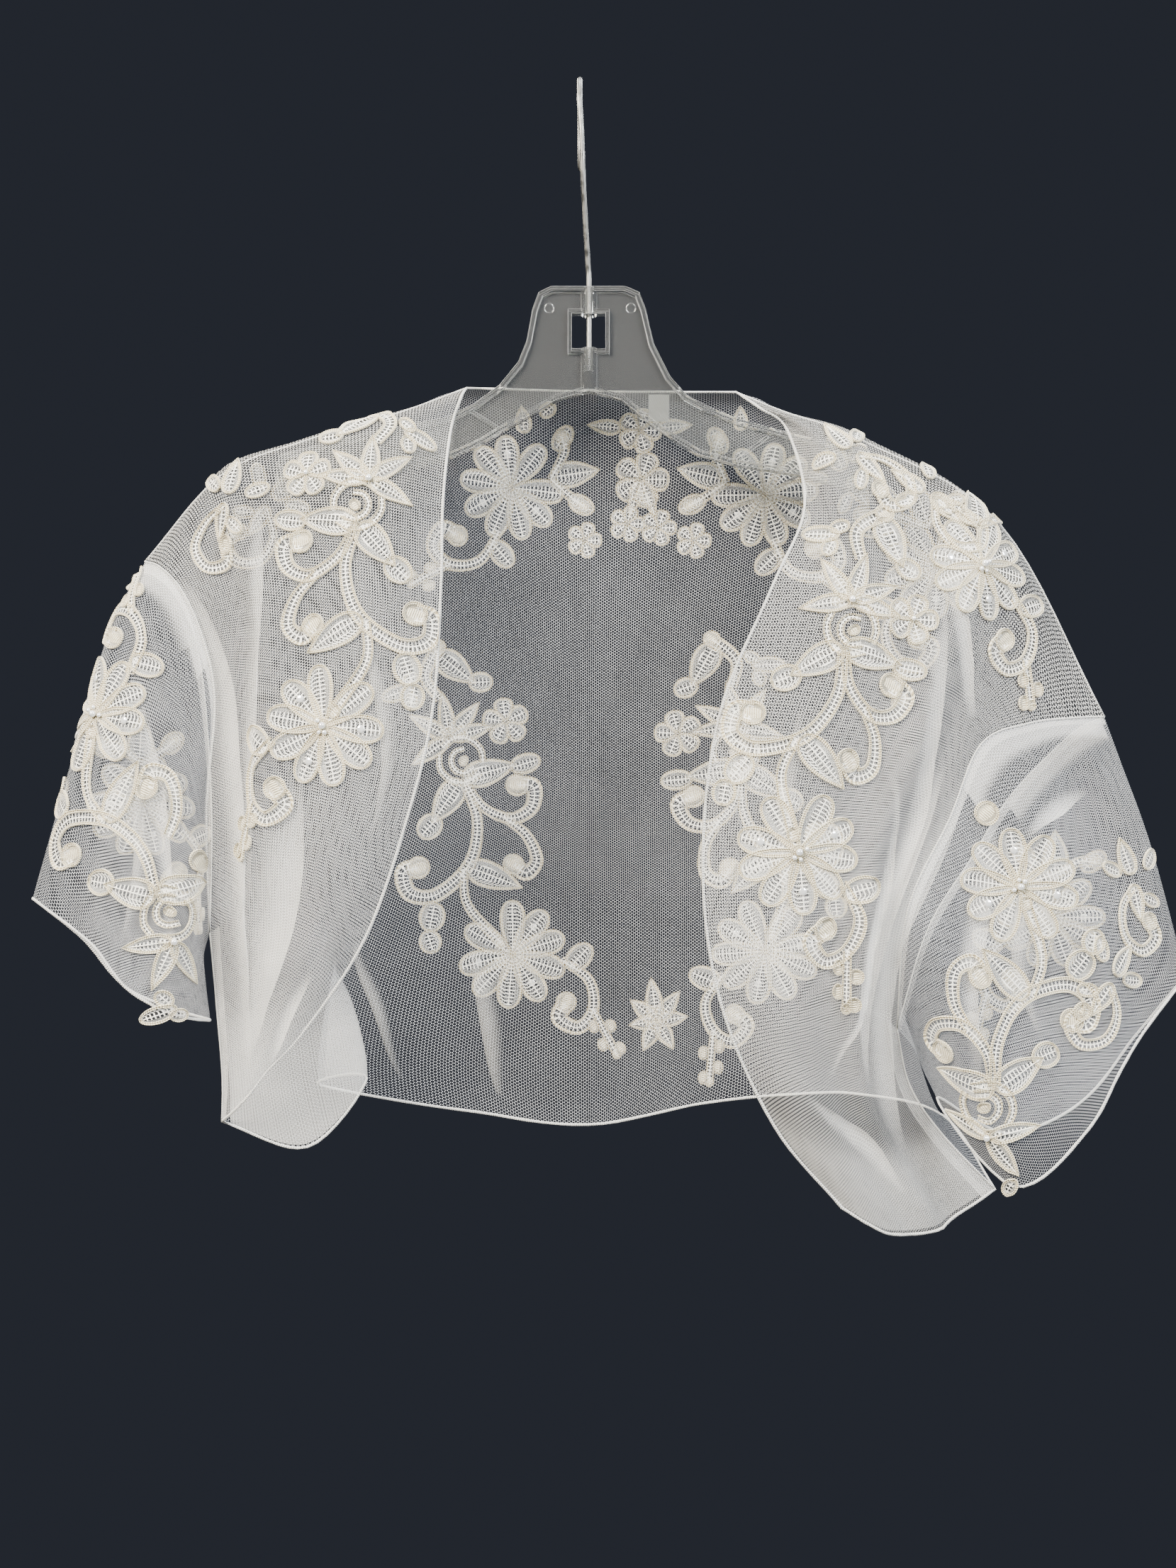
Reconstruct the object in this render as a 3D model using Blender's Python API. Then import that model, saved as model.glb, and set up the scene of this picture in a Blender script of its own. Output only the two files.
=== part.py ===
"""Lace bolero of fine net on a clear moulded hanger with a wire hook.

The frame is +X to the right as seen from the front, +Y to the back and +Z up.
The origin is the seat of the hook, the inner top of its bend, which holds the whole.
Sizes and tables are in millimetres, measured from the hanger's middle, and the meshes are in metres.
"""

import math

import bmesh
import bpy
from mathutils import Vector
from mathutils.geometry import delaunay_2d_cdt

MM = 0.001

# The hanger's middle hangs this far to the right of the hook's seat.
LEAN = 4.0

# Cloth walls, seams and the lace sewn on them.
NET_WALL = 1.0
SEAM_GAP = 0.3
CORNER_PULL = 1.8
THICKEST_MITRE = 1.6
LACE_WALL = 1.1
LACE_LIFT = 0.7
LACE_CLEARANCE = 0.45

# Cells that a panel has between two rows or two columns of its table.
CELLS_DOWN = 2
CELLS_ACROSS = 3
CELLS_ALONG_SLEEVE = 3

# The row of every body table where the armhole ends and the side seam starts.
UNDERARM_ROW = 6

# Front panels: a row for each section from shoulder seam to hem.
# Columns: front edge, inner, middle, tip of the shoulder, armhole or side seam.
FRONT_LEFT = (
    ((-60, 4, -147), (-94, 2, -160), (-139, 0, -174), (-180, 0, -191), (-217, 0, -233)),
    ((-62, -4, -154), (-93, -12, -164), (-137, -13, -177), (-177, -12, -194), (-207, -9, -237)),
    ((-67, -5, -171), (-92, -23, -182), (-134, -25, -196), (-169, -20, -217), (-195, -15, -249)),
    ((-69, -22, -208), (-93, -34, -219), (-127, -34, -232), (-159, -26, -249), (-184, -19, -272)),
    ((-69, -32, -250), (-92, -41, -261), (-123, -41, -274), (-155, -31, -288), (-178, -20, -303)),
    ((-72, -40, -307), (-94, -47, -317), (-124, -46, -329), (-155, -34, -343), (-182, -19, -354)),
    ((-83, -43, -356), (-104, -49, -368), (-130, -46, -381), (-158, -32, -398), (-183, -9, -414)),
    ((-103, -41, -413), (-118, -44, -420), (-139, -40, -430), (-160, -28, -440), (-180, -8, -450)),
    ((-133, -33, -458), (-142, -34, -464), (-152, -31, -471), (-163, -23, -477), (-177, -9, -484)),
    ((-152, -27, -478), (-157, -27, -485), (-162, -25, -491), (-169, -20, -498), (-177, -10, -505)),
)
FRONT_RIGHT = (
    ((73, 4, -149), (96, 2, -159), (135, 0, -174), (202, 0, -215), (253, 0, -309)),
    ((84, -4, -159), (103, -12, -166), (135, -13, -177), (195, -12, -218), (235, -9, -310)),
    ((97, -5, -170), (113, -23, -185), (138, -25, -199), (183, -22, -246), (211, -17, -313)),
    ((103, -22, -210), (118, -34, -226), (139, -35, -244), (168, -32, -282), (186, -26, -323)),
    ((86, -34, -250), (108, -42, -266), (133, -43, -289), (155, -38, -324), (170, -31, -358)),
    ((61, -40, -310), (86, -48, -327), (112, -49, -347), (134, -42, -374), (150, -31, -402)),
    ((53, -43, -379), (78, -51, -395), (103, -51, -414), (126, -42, -437), (149, -12, -460)),
    ((61, -43, -442), (83, -50, -455), (104, -47, -469), (128, -34, -483), (156, -8, -488)),
    ((86, -41, -500), (103, -46, -506), (121, -42, -512), (144, -25, -518), (173, -3, -513)),
    ((118, -38, -539), (131, -38, -547), (144, -33, -553), (168, -18, -554), (200, 2, -541)),
)

# Back panel: the same rows, each half from its armhole or side seam to the centre back.
# Columns: side, tip of the shoulder, middle, inner, neck, centre.
# Below the underarm the left half folds twice, so its columns go right, left and right again.
BACK_LEFT = (
    ((-217, 0, -233), (-180, 0, -191), (-139, 0, -174), (-94, 2, -160), (-60, 4, -147), (0, 7, -148)),
    ((-211, 9, -237), (-182, 11, -194), (-141, 12, -177), (-94, 13, -164), (-59, 14, -152), (0, 16, -153)),
    ((-201, 16, -255), (-178, 20, -213), (-141, 24, -193), (-95, 25, -180), (-58, 25, -175), (0, 27, -178)),
    ((-195, 21, -283), (-174, 26, -246), (-139, 32, -228), (-94, 35, -218), (-54, 36, -216), (0, 36, -220)),
    ((-192, 23, -317), (-173, 31, -289), (-138, 38, -274), (-93, 42, -268), (-51, 43, -268), (0, 42, -272)),
    ((-189, 19, -361), (-172, 34, -343), (-137, 43, -334), (-92, 47, -331), (-48, 48, -332), (0, 47, -334)),
    ((-183, -9, -414), (-164, 4, -410), (-142, 16, -407), (-113, 36, -403), (-59, 48, -400), (0, 50, -401)),
    ((-180, -8, -450), (-150, -4, -447), (-119, 6, -445), (-129, 28, -448), (-64, 47, -450), (0, 51, -455)),
    ((-177, -9, -484), (-143, -6, -488), (-111, 6, -472), (-135, 28, -477), (-68, 47, -487), (0, 51, -494)),
    ((-177, -10, -505), (-136, -7, -518), (-109, 5, -487), (-136, 28, -495), (-66, 47, -512), (0, 50, -520)),
)
BACK_RIGHT = (
    ((253, 0, -309), (202, 0, -215), (135, 0, -174), (96, 2, -159), (73, 4, -149), (0, 7, -148)),
    ((243, 10, -315), (202, 11, -222), (138, 12, -178), (101, 13, -164), (74, 14, -155), (0, 16, -153)),
    ((228, 19, -331), (196, 21, -251), (144, 24, -202), (104, 25, -186), (74, 25, -178), (0, 27, -178)),
    ((212, 26, -351), (188, 29, -288), (144, 34, -244), (104, 36, -227), (69, 36, -222), (0, 36, -220)),
    ((195, 29, -380), (175, 35, -331), (138, 41, -296), (101, 42, -277), (64, 42, -272), (0, 42, -272)),
    ((172, 24, -415), (159, 38, -382), (129, 45, -356), (96, 47, -340), (63, 47, -334), (0, 47, -334)),
    ((149, -12, -460), (155, 22, -440), (131, 44, -421), (96, 49, -406), (63, 50, -401), (0, 50, -401)),
    ((156, -8, -488), (164, 20, -475), (136, 44, -465), (98, 50, -456), (63, 51, -453), (0, 51, -455)),
    ((173, -3, -513), (172, 24, -501), (138, 45, -491), (100, 50, -484), (63, 51, -484), (0, 51, -494)),
    ((200, 2, -541), (180, 26, -510), (142, 44, -503), (104, 49, -504), (59, 50, -509), (0, 50, -520)),
)

# Sleeves: a row for each ring from armhole to cuff, the armhole ring itself being the body's.
# Columns: top, front high, front middle, front low, underarm, back low, back middle, back high.
SLEEVE_KNOTS = (0, 2, 4, 5, 6, 7, 8, 10)
SLEEVE_LEFT = (
    ((-234, 0, -266), (-212, -17, -274), (-188, -24, -327), (-185, -22, -374),
     (-187, -5, -426), (-196, 22, -379), (-201, 26, -331), (-222, 18, -274)),
    ((-251, 0, -324), (-226, -22, -333), (-202, -29, -370), (-190, -26, -407),
     (-186, -4, -441), (-203, 24, -413), (-218, 28, -374), (-239, 22, -336)),
    ((-272, 0, -398), (-236, -25, -417), (-216, -30, -439), (-196, -26, -451),
     (-184, -4, -457), (-209, 24, -456), (-234, 28, -446), (-255, 25, -421)),
)
SLEEVE_RIGHT = (
    ((261, 0, -331), (223, -20, -335), (184, -33, -383), (162, -36, -429),
     (158, -6, -470), (180, 26, -440), (207, 32, -401), (240, 22, -351)),
    ((276, 0, -373), (237, -24, -390), (207, -35, -439), (180, -39, -475),
     (164, -4, -483), (197, 29, -484), (227, 35, -452), (257, 26, -405)),
    ((293, 0, -436), (256, -26, -469), (232, -34, -506), (198, -38, -529),
     (170, -4, -495), (213, 30, -520), (251, 36, -507), (278, 28, -470)),
)

# Creases in table places. Columns: panel, start across, start down, end across, end down,
# half width in table columns, height (a ridge stands out of the cloth, a trough is negative).
CREASES = (
    ("front_left", 2.9, 1.2, 2.7, 5.5, 0.34, 3.0),
    ("front_left", 3.4, 1.6, 3.3, 5.0, 0.26, -3.0),
    ("front_left", 2.3, 2.5, 2.2, 6.0, 0.40, -2.5),
    ("front_right", 3.0, 2.0, 2.9, 8.6, 0.30, 4.0),
    ("front_right", 3.5, 3.4, 3.4, 8.8, 0.26, -4.0),
    ("front_right", 2.3, 4.0, 2.5, 7.8, 0.40, -2.0),
    ("back", 4.3, 6.4, 4.2, 9.0, 0.30, 3.0),
    ("back", 6.2, 2.2, 6.4, 6.5, 0.50, -2.5),
    ("back", 3.6, 2.0, 3.4, 5.6, 0.45, -2.5),
    ("sleeve_left", 0.7, 0.2, 0.9, 2.4, 0.50, 2.5),
    ("sleeve_right", 3.2, 0.3, 2.2, 2.4, 0.50, 3.0),
    ("sleeve_right", 2.2, 0.3, 1.2, 2.0, 0.45, -2.5),
    ("sleeve_right", 9.0, 0.4, 9.6, 2.2, 0.50, -2.5),
    ("sleeve_left", 9.0, 0.4, 9.4, 2.2, 0.50, -2.5),
)

# The long lace spray lies flat with the lily's bead at its origin and its daisy below.
# Columns: kind, x, y, turn in degrees, length, width.
LILY_TURNS = (188, 123, 71, 22, -12)
DAISY_TURNS = (63, 26, -8, -45, -84, -122, -160, 166, 122)
SPRAY_FORMS = (
    ("oval", -13, 33, -8, 18, 9),
    ("oval", -4, 36, 20, 10, 7),
    ("oval", -9, 26, 60, 10, 8),
    ("leaf", 15, 42, -66, 26, 15),
    ("oval", 28, 18, -25, 13, 11),
    ("lily", 0, 0, 0, 25, 9.5),
    ("five", 30, -6, 0, 12.5, 10),
    ("rose", 0, -13, 0, 14, 14),
    ("leaf", -4, -22, -12, 30, 15),
    ("oval", 29, -30, -10, 17, 11),
    ("leaf", -4, -22, 208, 28, 15),
    ("oval", -30, -36, 20, 15, 13),
    ("leaf", -23, -63, -50, 32, 15),
    ("oval", -51, -78, 50, 16, 14),
    ("oval", -58, -89, 80, 13, 12),
    ("daisy", -23.5, -116, 0, 29, 14),
    ("oval", 7, -133, 20, 18, 13),
    ("berry", -3, -169, 90, 7.5, 6.0),
    ("berry", 5, -173, 90, 7.5, 6.0),
    ("berry", -3, -180, 90, 7.5, 6.0),
    ("berry", 4, -186, 90, 7.5, 6.0),
)

# Columns: start width, end width, points along the middle.
SPRAY_SCROLLS = (
    (5.0, 6.0, ((5, 20), (4, 34), (17, 44))),
    (3.5, 8.0, ((-3, -24), (-1, -40), (9, -52), (21, -52), (27, -43), (20, -38))),
    (4.0, 7.5, ((6, -50), (12, -63), (11, -77), (3, -81), (-1, -74))),
    (4.5, 8.0, ((-4, -24), (-7, -45), (-21, -63), (-43, -69), (-55, -62), (-53, -51), (-45, -52))),
    (4.0, 4.5, ((-25, -64), (-32, -82), (-26, -108))),
    (4.0, 7.5, ((-2, -130), (6, -146), (1, -161), (-10, -166), (-17, -157), (-10, -151))),
    (3.5, 3.5, ((1, -161), (1, -188))),
)

# The short lace sprig lies flat with its daisy at its origin.
SPRIG_FORMS = (
    ("leaf", 2, 20, 78, 26, 14),
    ("oval", -14, 33, 125, 15, 10),
    ("oval", 20, 30, 40, 15, 10),
    ("daisy", 0, 0, 0, 27, 13),
    ("oval", 29, -17, 20, 17, 12),
    ("berry", 22, -54, 90, 7.5, 6.0),
    ("berry", 30, -58, 90, 7.5, 6.0),
    ("berry", 22, -65, 90, 7.5, 6.0),
)
SPRIG_SCROLLS = (
    (3.5, 5.0, ((3, 20), (-7, 31), (-15, 33))),
    (3.5, 5.0, ((3, 20), (14, 26), (21, 31))),
    (4.0, 7.5, ((18, -14), (28, -29), (24, -44), (13, -49), (6, -41), (12, -35))),
    (3.5, 3.5, ((24, -44), (26, -66))),
)

# The posy lies flat with its largest flower at its origin.
POSY_FORMS = (
    ("five", 0, 0, 0, 14.5, 11.5),
    ("oval", 0, 0, 0, 9, 9),
    ("leaf", 0, 0, 252, 20, 8),
    ("leaf", 0, 0, 292, 21, 8),
    ("five", -7, -22, 0, 9.5, 7.5),
    ("oval", -7, -22, 0, 7, 7),
    ("five", 9, -24, 0, 9.5, 7.5),
    ("oval", 9, -24, 0, 7, 7),
)

# Where lace lies. Columns: node, panel, flat shape, faces the back, x and z of the flat origin,
# x and z of a place towards which the flat shape's foot points, mirrored.
LACE_PLACES = (
    ("lace_front_left", "front_left", "spray", False, -103, -199, -145, -308, True),
    ("lace_front_right", "front_right", "spray", False, 122, -257, 120, -373, False),
    ("lace_shoulder_right", "front_right", "sprig", False, 187, -238, 188, -300, False),
    ("lace_sleeve_left", "sleeve_left", "spray", False, -195, -416, -216, -318, True),
    ("lace_sleeve_right", "sleeve_right", "spray", False, 187, -506, 194, -405, False),
    ("lace_back_neck_left", "back", "sprig", True, -39, -191, -100, -214, True),
    ("lace_back_neck", "back", "posy", True, 27, -187, 27, -230, True),
    ("lace_back_neck_right", "back", "sprig", True, 90, -195, 146, -223, False),
    ("lace_back_left", "back", "spray", True, -72, -318, -20, -418, True),
    ("lace_back_right", "back", "spray", True, 78, -312, 70, -424, False),
    ("lace_sleeve_back_left", "sleeve_left", "sprig", True, -226, -352, -212, -430, True),
    ("lace_sleeve_back_right", "sleeve_right", "sprig", True, 236, -410, 222, -480, False),
)
WALK_STEP = 6.0

# Hanger: the outline of its plate, left then right, as x and z, from the neck down to the lower rail.
HANGER_LEFT = (
    (-18, -99), (-24, -102), (-27, -110), (-30, -126), (-34, -136), (-43, -147), (-55, -156),
    (-69, -163), (-110, -171), (-150, -181), (-152, -186), (-152, -201), (-110, -193), (-69, -183),
    (-55, -177), (-43, -170), (-30, -163), (-15, -154),
)
HANGER_RIGHT = (
    (18, -99), (25, -102), (28, -110), (32, -127), (40, -143), (48, -152), (57, -157),
    (74, -164), (100, -171), (137, -179), (139, -184), (139, -201), (103, -191), (72, -186),
    (54, -181), (44, -175), (32, -167), (16, -154),
)
HANGER_FOOT = (0.5, -150)
RIM_WIDTH = 2.2
RIM_DEPTH = 6.0
WEB_DEPTH = 1.6
WINDOW = (-8.0, 8.6, -129.5, -112.0)
WINDOW_FRAME = 1.8
BOSS_X = 0.5
BOSS_WIDTH = 8.0
BOSSES = ((-99.6, -112.6), (-129.0, -149.4))
BORE_WIDTH = 3.1
BORE_FOOT = -140.0
STRUTS = (((-58, -159), (-42, -169)), ((72, -184), (88, -172)))
STRUT_SIZE = (1.4, 4.0)

# Hook: a wire over a round rail, in the plane across the hanger.
WIRE = 2.5
RAIL_WIDTH = 32.0
HOOK_SHANK = ((0.6, -17.25, -16), (0.9, -17.0, -30), (1.6, -13.5, -50), (2.8, -7.0, -70),
              (4.0, -1.2, -88), (4.5, 0.0, -98), (4.5, 0.0, -137))
HOOK_TIP = ((0.0, 17.25, -16), (0.0, 18.2, -25), (0.0, 21.5, -33))

# Size tape at the back neck: x, y and z of its middle, its width, height and thickness.
LABEL_PLACE = (35.0, 8.2, -156.0)
LABEL_SIZE = (10.2, 0.6, 14.0)
LABEL_TILT = 28.0

FINISHES = {
    "net": ((0.93, 0.93, 0.94, 1.0), 0.8),
    "lace": ((0.95, 0.93, 0.88, 1.0), 0.75),
    "clear": ((0.82, 0.84, 0.86, 1.0), 0.1),
    "nickel": ((0.72, 0.71, 0.69, 1.0), 0.2),
    "tape": ((0.96, 0.96, 0.95, 1.0), 0.7),
}


def spline(points, place):
    """Smooth curve through points, at a place counted in points from the first."""
    last = len(points) - 1
    start = min(max(int(place), 0), last - 1)
    part = place - start
    here, there = points[start], points[start + 1]
    before = points[start - 1] if start > 0 else 2 * here - there
    after = points[start + 2] if start + 2 <= last else 2 * there - here
    slope_in = (there - before) / 2
    slope_out = (after - here) / 2
    square, cube = part * part, part * part * part
    return (
        here * (2 * cube - 3 * square + 1)
        + slope_in * (cube - 2 * square + part)
        + there * (3 * square - 2 * cube)
        + slope_out * (cube - square)
    )


def ring_spline(knots, turn, points, place):
    """Smooth closed curve through points set at uneven knots around one turn."""
    count = len(points)
    place %= turn
    start = max(index for index in range(count) if knots[index] <= place)

    def knot(index):
        return knots[index % count] + turn * (index // count)

    def slope(index):
        span = knot(index + 1) - knot(index - 1)
        return (points[(index + 1) % count] - points[(index - 1) % count]) / span

    width = knot(start + 1) - knot(start)
    part = (place - knots[start]) / width
    square, cube = part * part, part * part * part
    return (
        points[start] * (2 * cube - 3 * square + 1)
        + slope(start) * width * (cube - 2 * square + part)
        + points[(start + 1) % count] * (3 * square - 2 * cube)
        + slope(start + 1) * width * (cube - square)
    )


def vectors(table):
    """The table's triples as vectors."""
    return [[Vector(place) for place in row] for row in table]


def body_grid(table, side_columns, corner_columns):
    """Points of a body panel, a list for each line down it.

    The side columns turn a corner at the underarm, and the top line turns one at the corner columns.
    """
    columns = range(len(table[0]))
    cells_down = (len(table) - 1) * CELLS_DOWN
    cells_across = (len(table[0]) - 1) * CELLS_ACROSS
    grid = []
    for line in range(cells_down + 1):
        row = line / CELLS_DOWN
        stations = []
        for column in columns:
            points = [table[index][column] for index in range(len(table))]
            if column not in side_columns:
                stations.append(spline(points, row))
            elif row <= UNDERARM_ROW:
                stations.append(spline(points[: UNDERARM_ROW + 1], row))
            else:
                stations.append(spline(points[UNDERARM_ROW:], row - UNDERARM_ROW))
        corners = [0, *corner_columns, len(stations) - 1] if line == 0 else [0, len(stations) - 1]
        points = []
        for cell in range(cells_across + 1):
            place = cell / CELLS_ACROSS
            part = max(index for index in range(len(corners) - 1) if corners[index] <= place)
            low, high = corners[part], corners[part + 1]
            points.append(spline(stations[low: high + 1], place - low))
        grid.append(points)
    return grid


def sleeve_grid(table, armhole):
    """Points of a sleeve, a list for each ring from the armhole out, the first being the armhole."""
    turn = 2 * UNDERARM_ROW
    count = len(armhole)
    first = [armhole[knot * CELLS_DOWN] for knot in SLEEVE_KNOTS]
    rings = [first, *table]
    grid = [list(armhole)]
    steps = len(table) * CELLS_ALONG_SLEEVE
    for step in range(1, steps + 1):
        row = step / CELLS_ALONG_SLEEVE
        stations = [spline([ring[column] for ring in rings], row) for column in range(len(first))]
        fade = (1 - step / steps) ** 2
        points = []
        for index in range(count):
            place = turn * index / count
            offset = armhole[index] - ring_spline(SLEEVE_KNOTS, turn, first, place)
            points.append(ring_spline(SLEEVE_KNOTS, turn, stations, place) + offset * fade)
        grid.append(points)
    return grid


def grid_normals(grid, closed, side):
    """Outward direction at each point of a grid, turned to the given side."""
    lines, count = len(grid), len(grid[0])
    normals = []
    for line in range(lines):
        row = []
        for index in range(count):
            if closed:
                across = grid[line][(index + 1) % count] - grid[line][index - 1]
            else:
                across = grid[line][min(index + 1, count - 1)] - grid[line][max(index - 1, 0)]
            down = grid[min(line + 1, lines - 1)][index] - grid[max(line - 1, 0)][index]
            row.append(across.cross(down).normalized() * side)
        normals.append(row)
    return normals


def crease_grid(name, grid, closed, side):
    """The grid with its soft troughs and ridges pressed in, still at seams and open at hems."""
    normals = grid_normals(grid, closed, side)
    lines, count = len(grid), len(grid[0])
    cells_across = CELLS_DOWN if closed else CELLS_ACROSS
    cells_down = CELLS_ALONG_SLEEVE if closed else CELLS_DOWN
    turn = 2 * UNDERARM_ROW
    for line in range(1, lines):
        for index in range(count):
            across, down = index / cells_across, line / cells_down
            rise = 0.0
            for panel, across_0, down_0, across_1, down_1, width, height in CREASES:
                if panel != name:
                    continue
                part = (down - down_0) / (down_1 - down_0)
                beside = across - across_0 - (across_1 - across_0) * min(max(part, 0), 1)
                if closed:
                    beside = (beside + turn / 2) % turn - turn / 2
                beyond = max(down_0 - down, down - down_1, 0.0)
                rise += height * math.exp(-((beside / width) ** 2) - (beyond / 0.6) ** 2)
            still = min(1.0, down)
            if not closed:
                still *= min(1.0, across, (count - 1) / cells_across - across)
            grid[line][index] = grid[line][index] + normals[line][index] * rise * still
    return grid


class Panel:
    """One cut piece of net: its middle surface, and the wall that stands on both its sides."""

    def __init__(self, name, grid, closed, side):
        self.name = name
        self.closed = closed
        self.side = side
        self.grid = crease_grid(name, grid, closed, side)
        self.normals = grid_normals(self.grid, closed, side)
        self.mitres = {}
        self.shifts = {}
        self.outer = []
        self.inner = []

    def meet(self, place, mitre, shift):
        """Notes that the point at a place lies on a seam with the given mitre and pull-back."""
        self.mitres.setdefault(place, []).append(mitre)
        self.shifts.setdefault(place, []).append(shift)

    def raise_wall(self):
        """Works out both faces of the wall from the middle surface and its seams."""
        for line, points in enumerate(self.grid):
            outer, inner = [], []
            for index, point in enumerate(points):
                normal = self.normals[line][index]
                thick = NET_WALL / 2
                place = (line, index)
                if place in self.mitres:
                    mitre = sum(self.mitres[place], Vector()).normalized()
                    thick *= min(THICKEST_MITRE, 1 / max(0.1, mitre.dot(normal)))
                    normal = mitre
                    corner = CORNER_PULL if len(self.shifts[place]) > 1 else 1.0
                    point = point + sum(self.shifts[place], Vector()) * corner
                outer.append(point + normal * thick)
                inner.append(point - normal * thick)
            self.outer.append(outer)
            self.inner.append(inner)

    def point(self, across, down, height):
        """A point at a place in cells, the given height above the wall's outer face."""
        count = len(self.outer[0])
        column = math.floor(across)
        if not self.closed:
            column = min(max(column, 0), count - 2)
        line = min(max(math.floor(down), 0), len(self.outer) - 2)
        part_across, part_down = across - column, down - line
        column, column_next = column % count, (column + 1) % count
        if part_across >= part_down:
            weights = (1 - part_across, part_across - part_down, 0.0, part_down)
        else:
            weights = (1 - part_down, 0.0, part_down - part_across, part_across)
        corners = ((line, column), (line, column_next), (line + 1, column), (line + 1, column_next))
        place, normal = Vector(), Vector()
        for weight, (row, index) in zip(weights, corners):
            place += self.outer[row][index] * weight
            normal += self.normals[row][index] * weight
        return place + normal.normalized() * height

    def slopes(self, across, down):
        """How a point moves for one cell across and for one cell down."""
        step = 0.5
        high = min(down + step, len(self.outer) - 1.0)
        low = max(down - step, 0.0)
        along_across = (self.point(across + step, down, 0) - self.point(across - step, down, 0)) / (2 * step)
        along_down = (self.point(across, high, 0) - self.point(across, low, 0)) / (high - low)
        return along_across, along_down

    def move(self, across, down, heading, distance):
        """Walks a distance over the cloth. Returns the new place and the heading there."""
        steps = max(1, math.ceil(abs(distance) / WALK_STEP))
        for _ in range(steps):
            along_across, along_down = self.slopes(across, down)
            normal = along_across.cross(along_down).normalized()
            heading = (heading - normal * heading.dot(normal)).normalized()
            aa, ad, dd = along_across.dot(along_across), along_across.dot(along_down), along_down.dot(along_down)
            ha, hd = heading.dot(along_across), heading.dot(along_down)
            scale = distance / steps / (aa * dd - ad * ad)
            across += (ha * dd - hd * ad) * scale
            down += (hd * aa - ha * ad) * scale
        return across, down, heading

    def find(self, x, z, faces_back):
        """The place of the wall's outer face that lies at x and z, on its front or its back."""
        count = len(self.outer[0])
        for line in range(len(self.outer) - 1):
            for column in range(count if self.closed else count - 1):
                after = (column + 1) % count
                corner, far = self.outer[line][column], self.outer[line + 1][after]
                for across, down, third in ((1, 0, self.outer[line][after]), (0, 1, self.outer[line + 1][column])):
                    if (self.normals[line][column].y > 0) != faces_back:
                        continue
                    side_1, side_2 = far - corner, third - corner
                    area = side_1.x * side_2.z - side_1.z * side_2.x
                    if abs(area) < 1e-9:
                        continue
                    dx, dz = x - corner.x, z - corner.z
                    weight_1 = (dx * side_2.z - dz * side_2.x) / area
                    weight_2 = (side_1.x * dz - side_1.z * dx) / area
                    if weight_1 >= 0 and weight_2 >= 0 and weight_1 + weight_2 <= 1:
                        return column + weight_1 + weight_2 * across, line + weight_1 + weight_2 * down
        raise ValueError(f"{self.name} has no place at {x}, {z}")

    def holds(self, across, down, faces_back):
        """True where a place is on the panel, clear of its edges, and on the wanted side of a sleeve."""
        if not 0.12 <= down <= len(self.outer) - 1.12:
            return False
        if not self.closed:
            return 0.1 <= across <= len(self.outer[0]) - 1.1
        half = UNDERARM_ROW * CELLS_DOWN
        reach = 2.5
        if faces_back:
            return half + 0.8 <= across <= 2 * half + reach
        return -reach <= across <= half - 0.8


def join(panel_a, places_a, inside_a, panel_b, places_b, inside_b):
    """Mitres two panels along a shared seam and pulls each back by half the seam's gap."""
    line = [panel_a.grid[row][index] for row, index in places_a]
    for number, point in enumerate(line):
        along = line[min(number + 1, len(line) - 1)] - line[max(number - 1, 0)]
        row_a, index_a = places_a[number]
        row_b, index_b = places_b[number]
        into_a = (panel_a.grid[inside_a[number][0]][inside_a[number][1]] - point).normalized()
        into_b = (panel_b.grid[inside_b[number][0]][inside_b[number][1]] - point).normalized()
        apart = (into_a - into_b).normalized()
        mitre = along.cross(apart).normalized()
        outward = panel_a.normals[row_a][index_a] + panel_b.normals[row_b][index_b]
        if mitre.dot(outward) < 0:
            mitre = -mitre
        panel_a.meet((row_a, index_a), mitre, apart * SEAM_GAP / 2)
        panel_b.meet((row_b, index_b), mitre, -apart * SEAM_GAP / 2)


def finish(name):
    """The plain material of one finish."""
    colour, roughness = FINISHES[name]
    material = bpy.data.materials.get(name)
    if material is None:
        material = bpy.data.materials.new(name)
        material.use_nodes = True
        shader = material.node_tree.nodes["Principled BSDF"]
        shader.inputs["Base Color"].default_value = colour
        shader.inputs["Roughness"].default_value = roughness
        shader.inputs["Metallic"].default_value = 1.0 if name == "nickel" else 0.0
    return material


def add_object(name, bm, finish_name, smooth_angle=40.0):
    """Puts a closed mesh, in millimetres from the hanger's middle, into the scene in metres."""
    bmesh.ops.recalc_face_normals(bm, faces=bm.faces)
    mesh = bpy.data.meshes.new(name)
    for vertex in bm.verts:
        vertex.co = (vertex.co + Vector((LEAN, 0, 0))) * MM
    bm.to_mesh(mesh)
    bm.free()
    mesh.shade_smooth()
    mesh.set_sharp_from_angle(angle=math.radians(smooth_angle))
    mesh.materials.append(finish(finish_name))
    thing = bpy.data.objects.new(name, mesh)
    bpy.context.scene.collection.objects.link(thing)
    return thing


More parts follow.
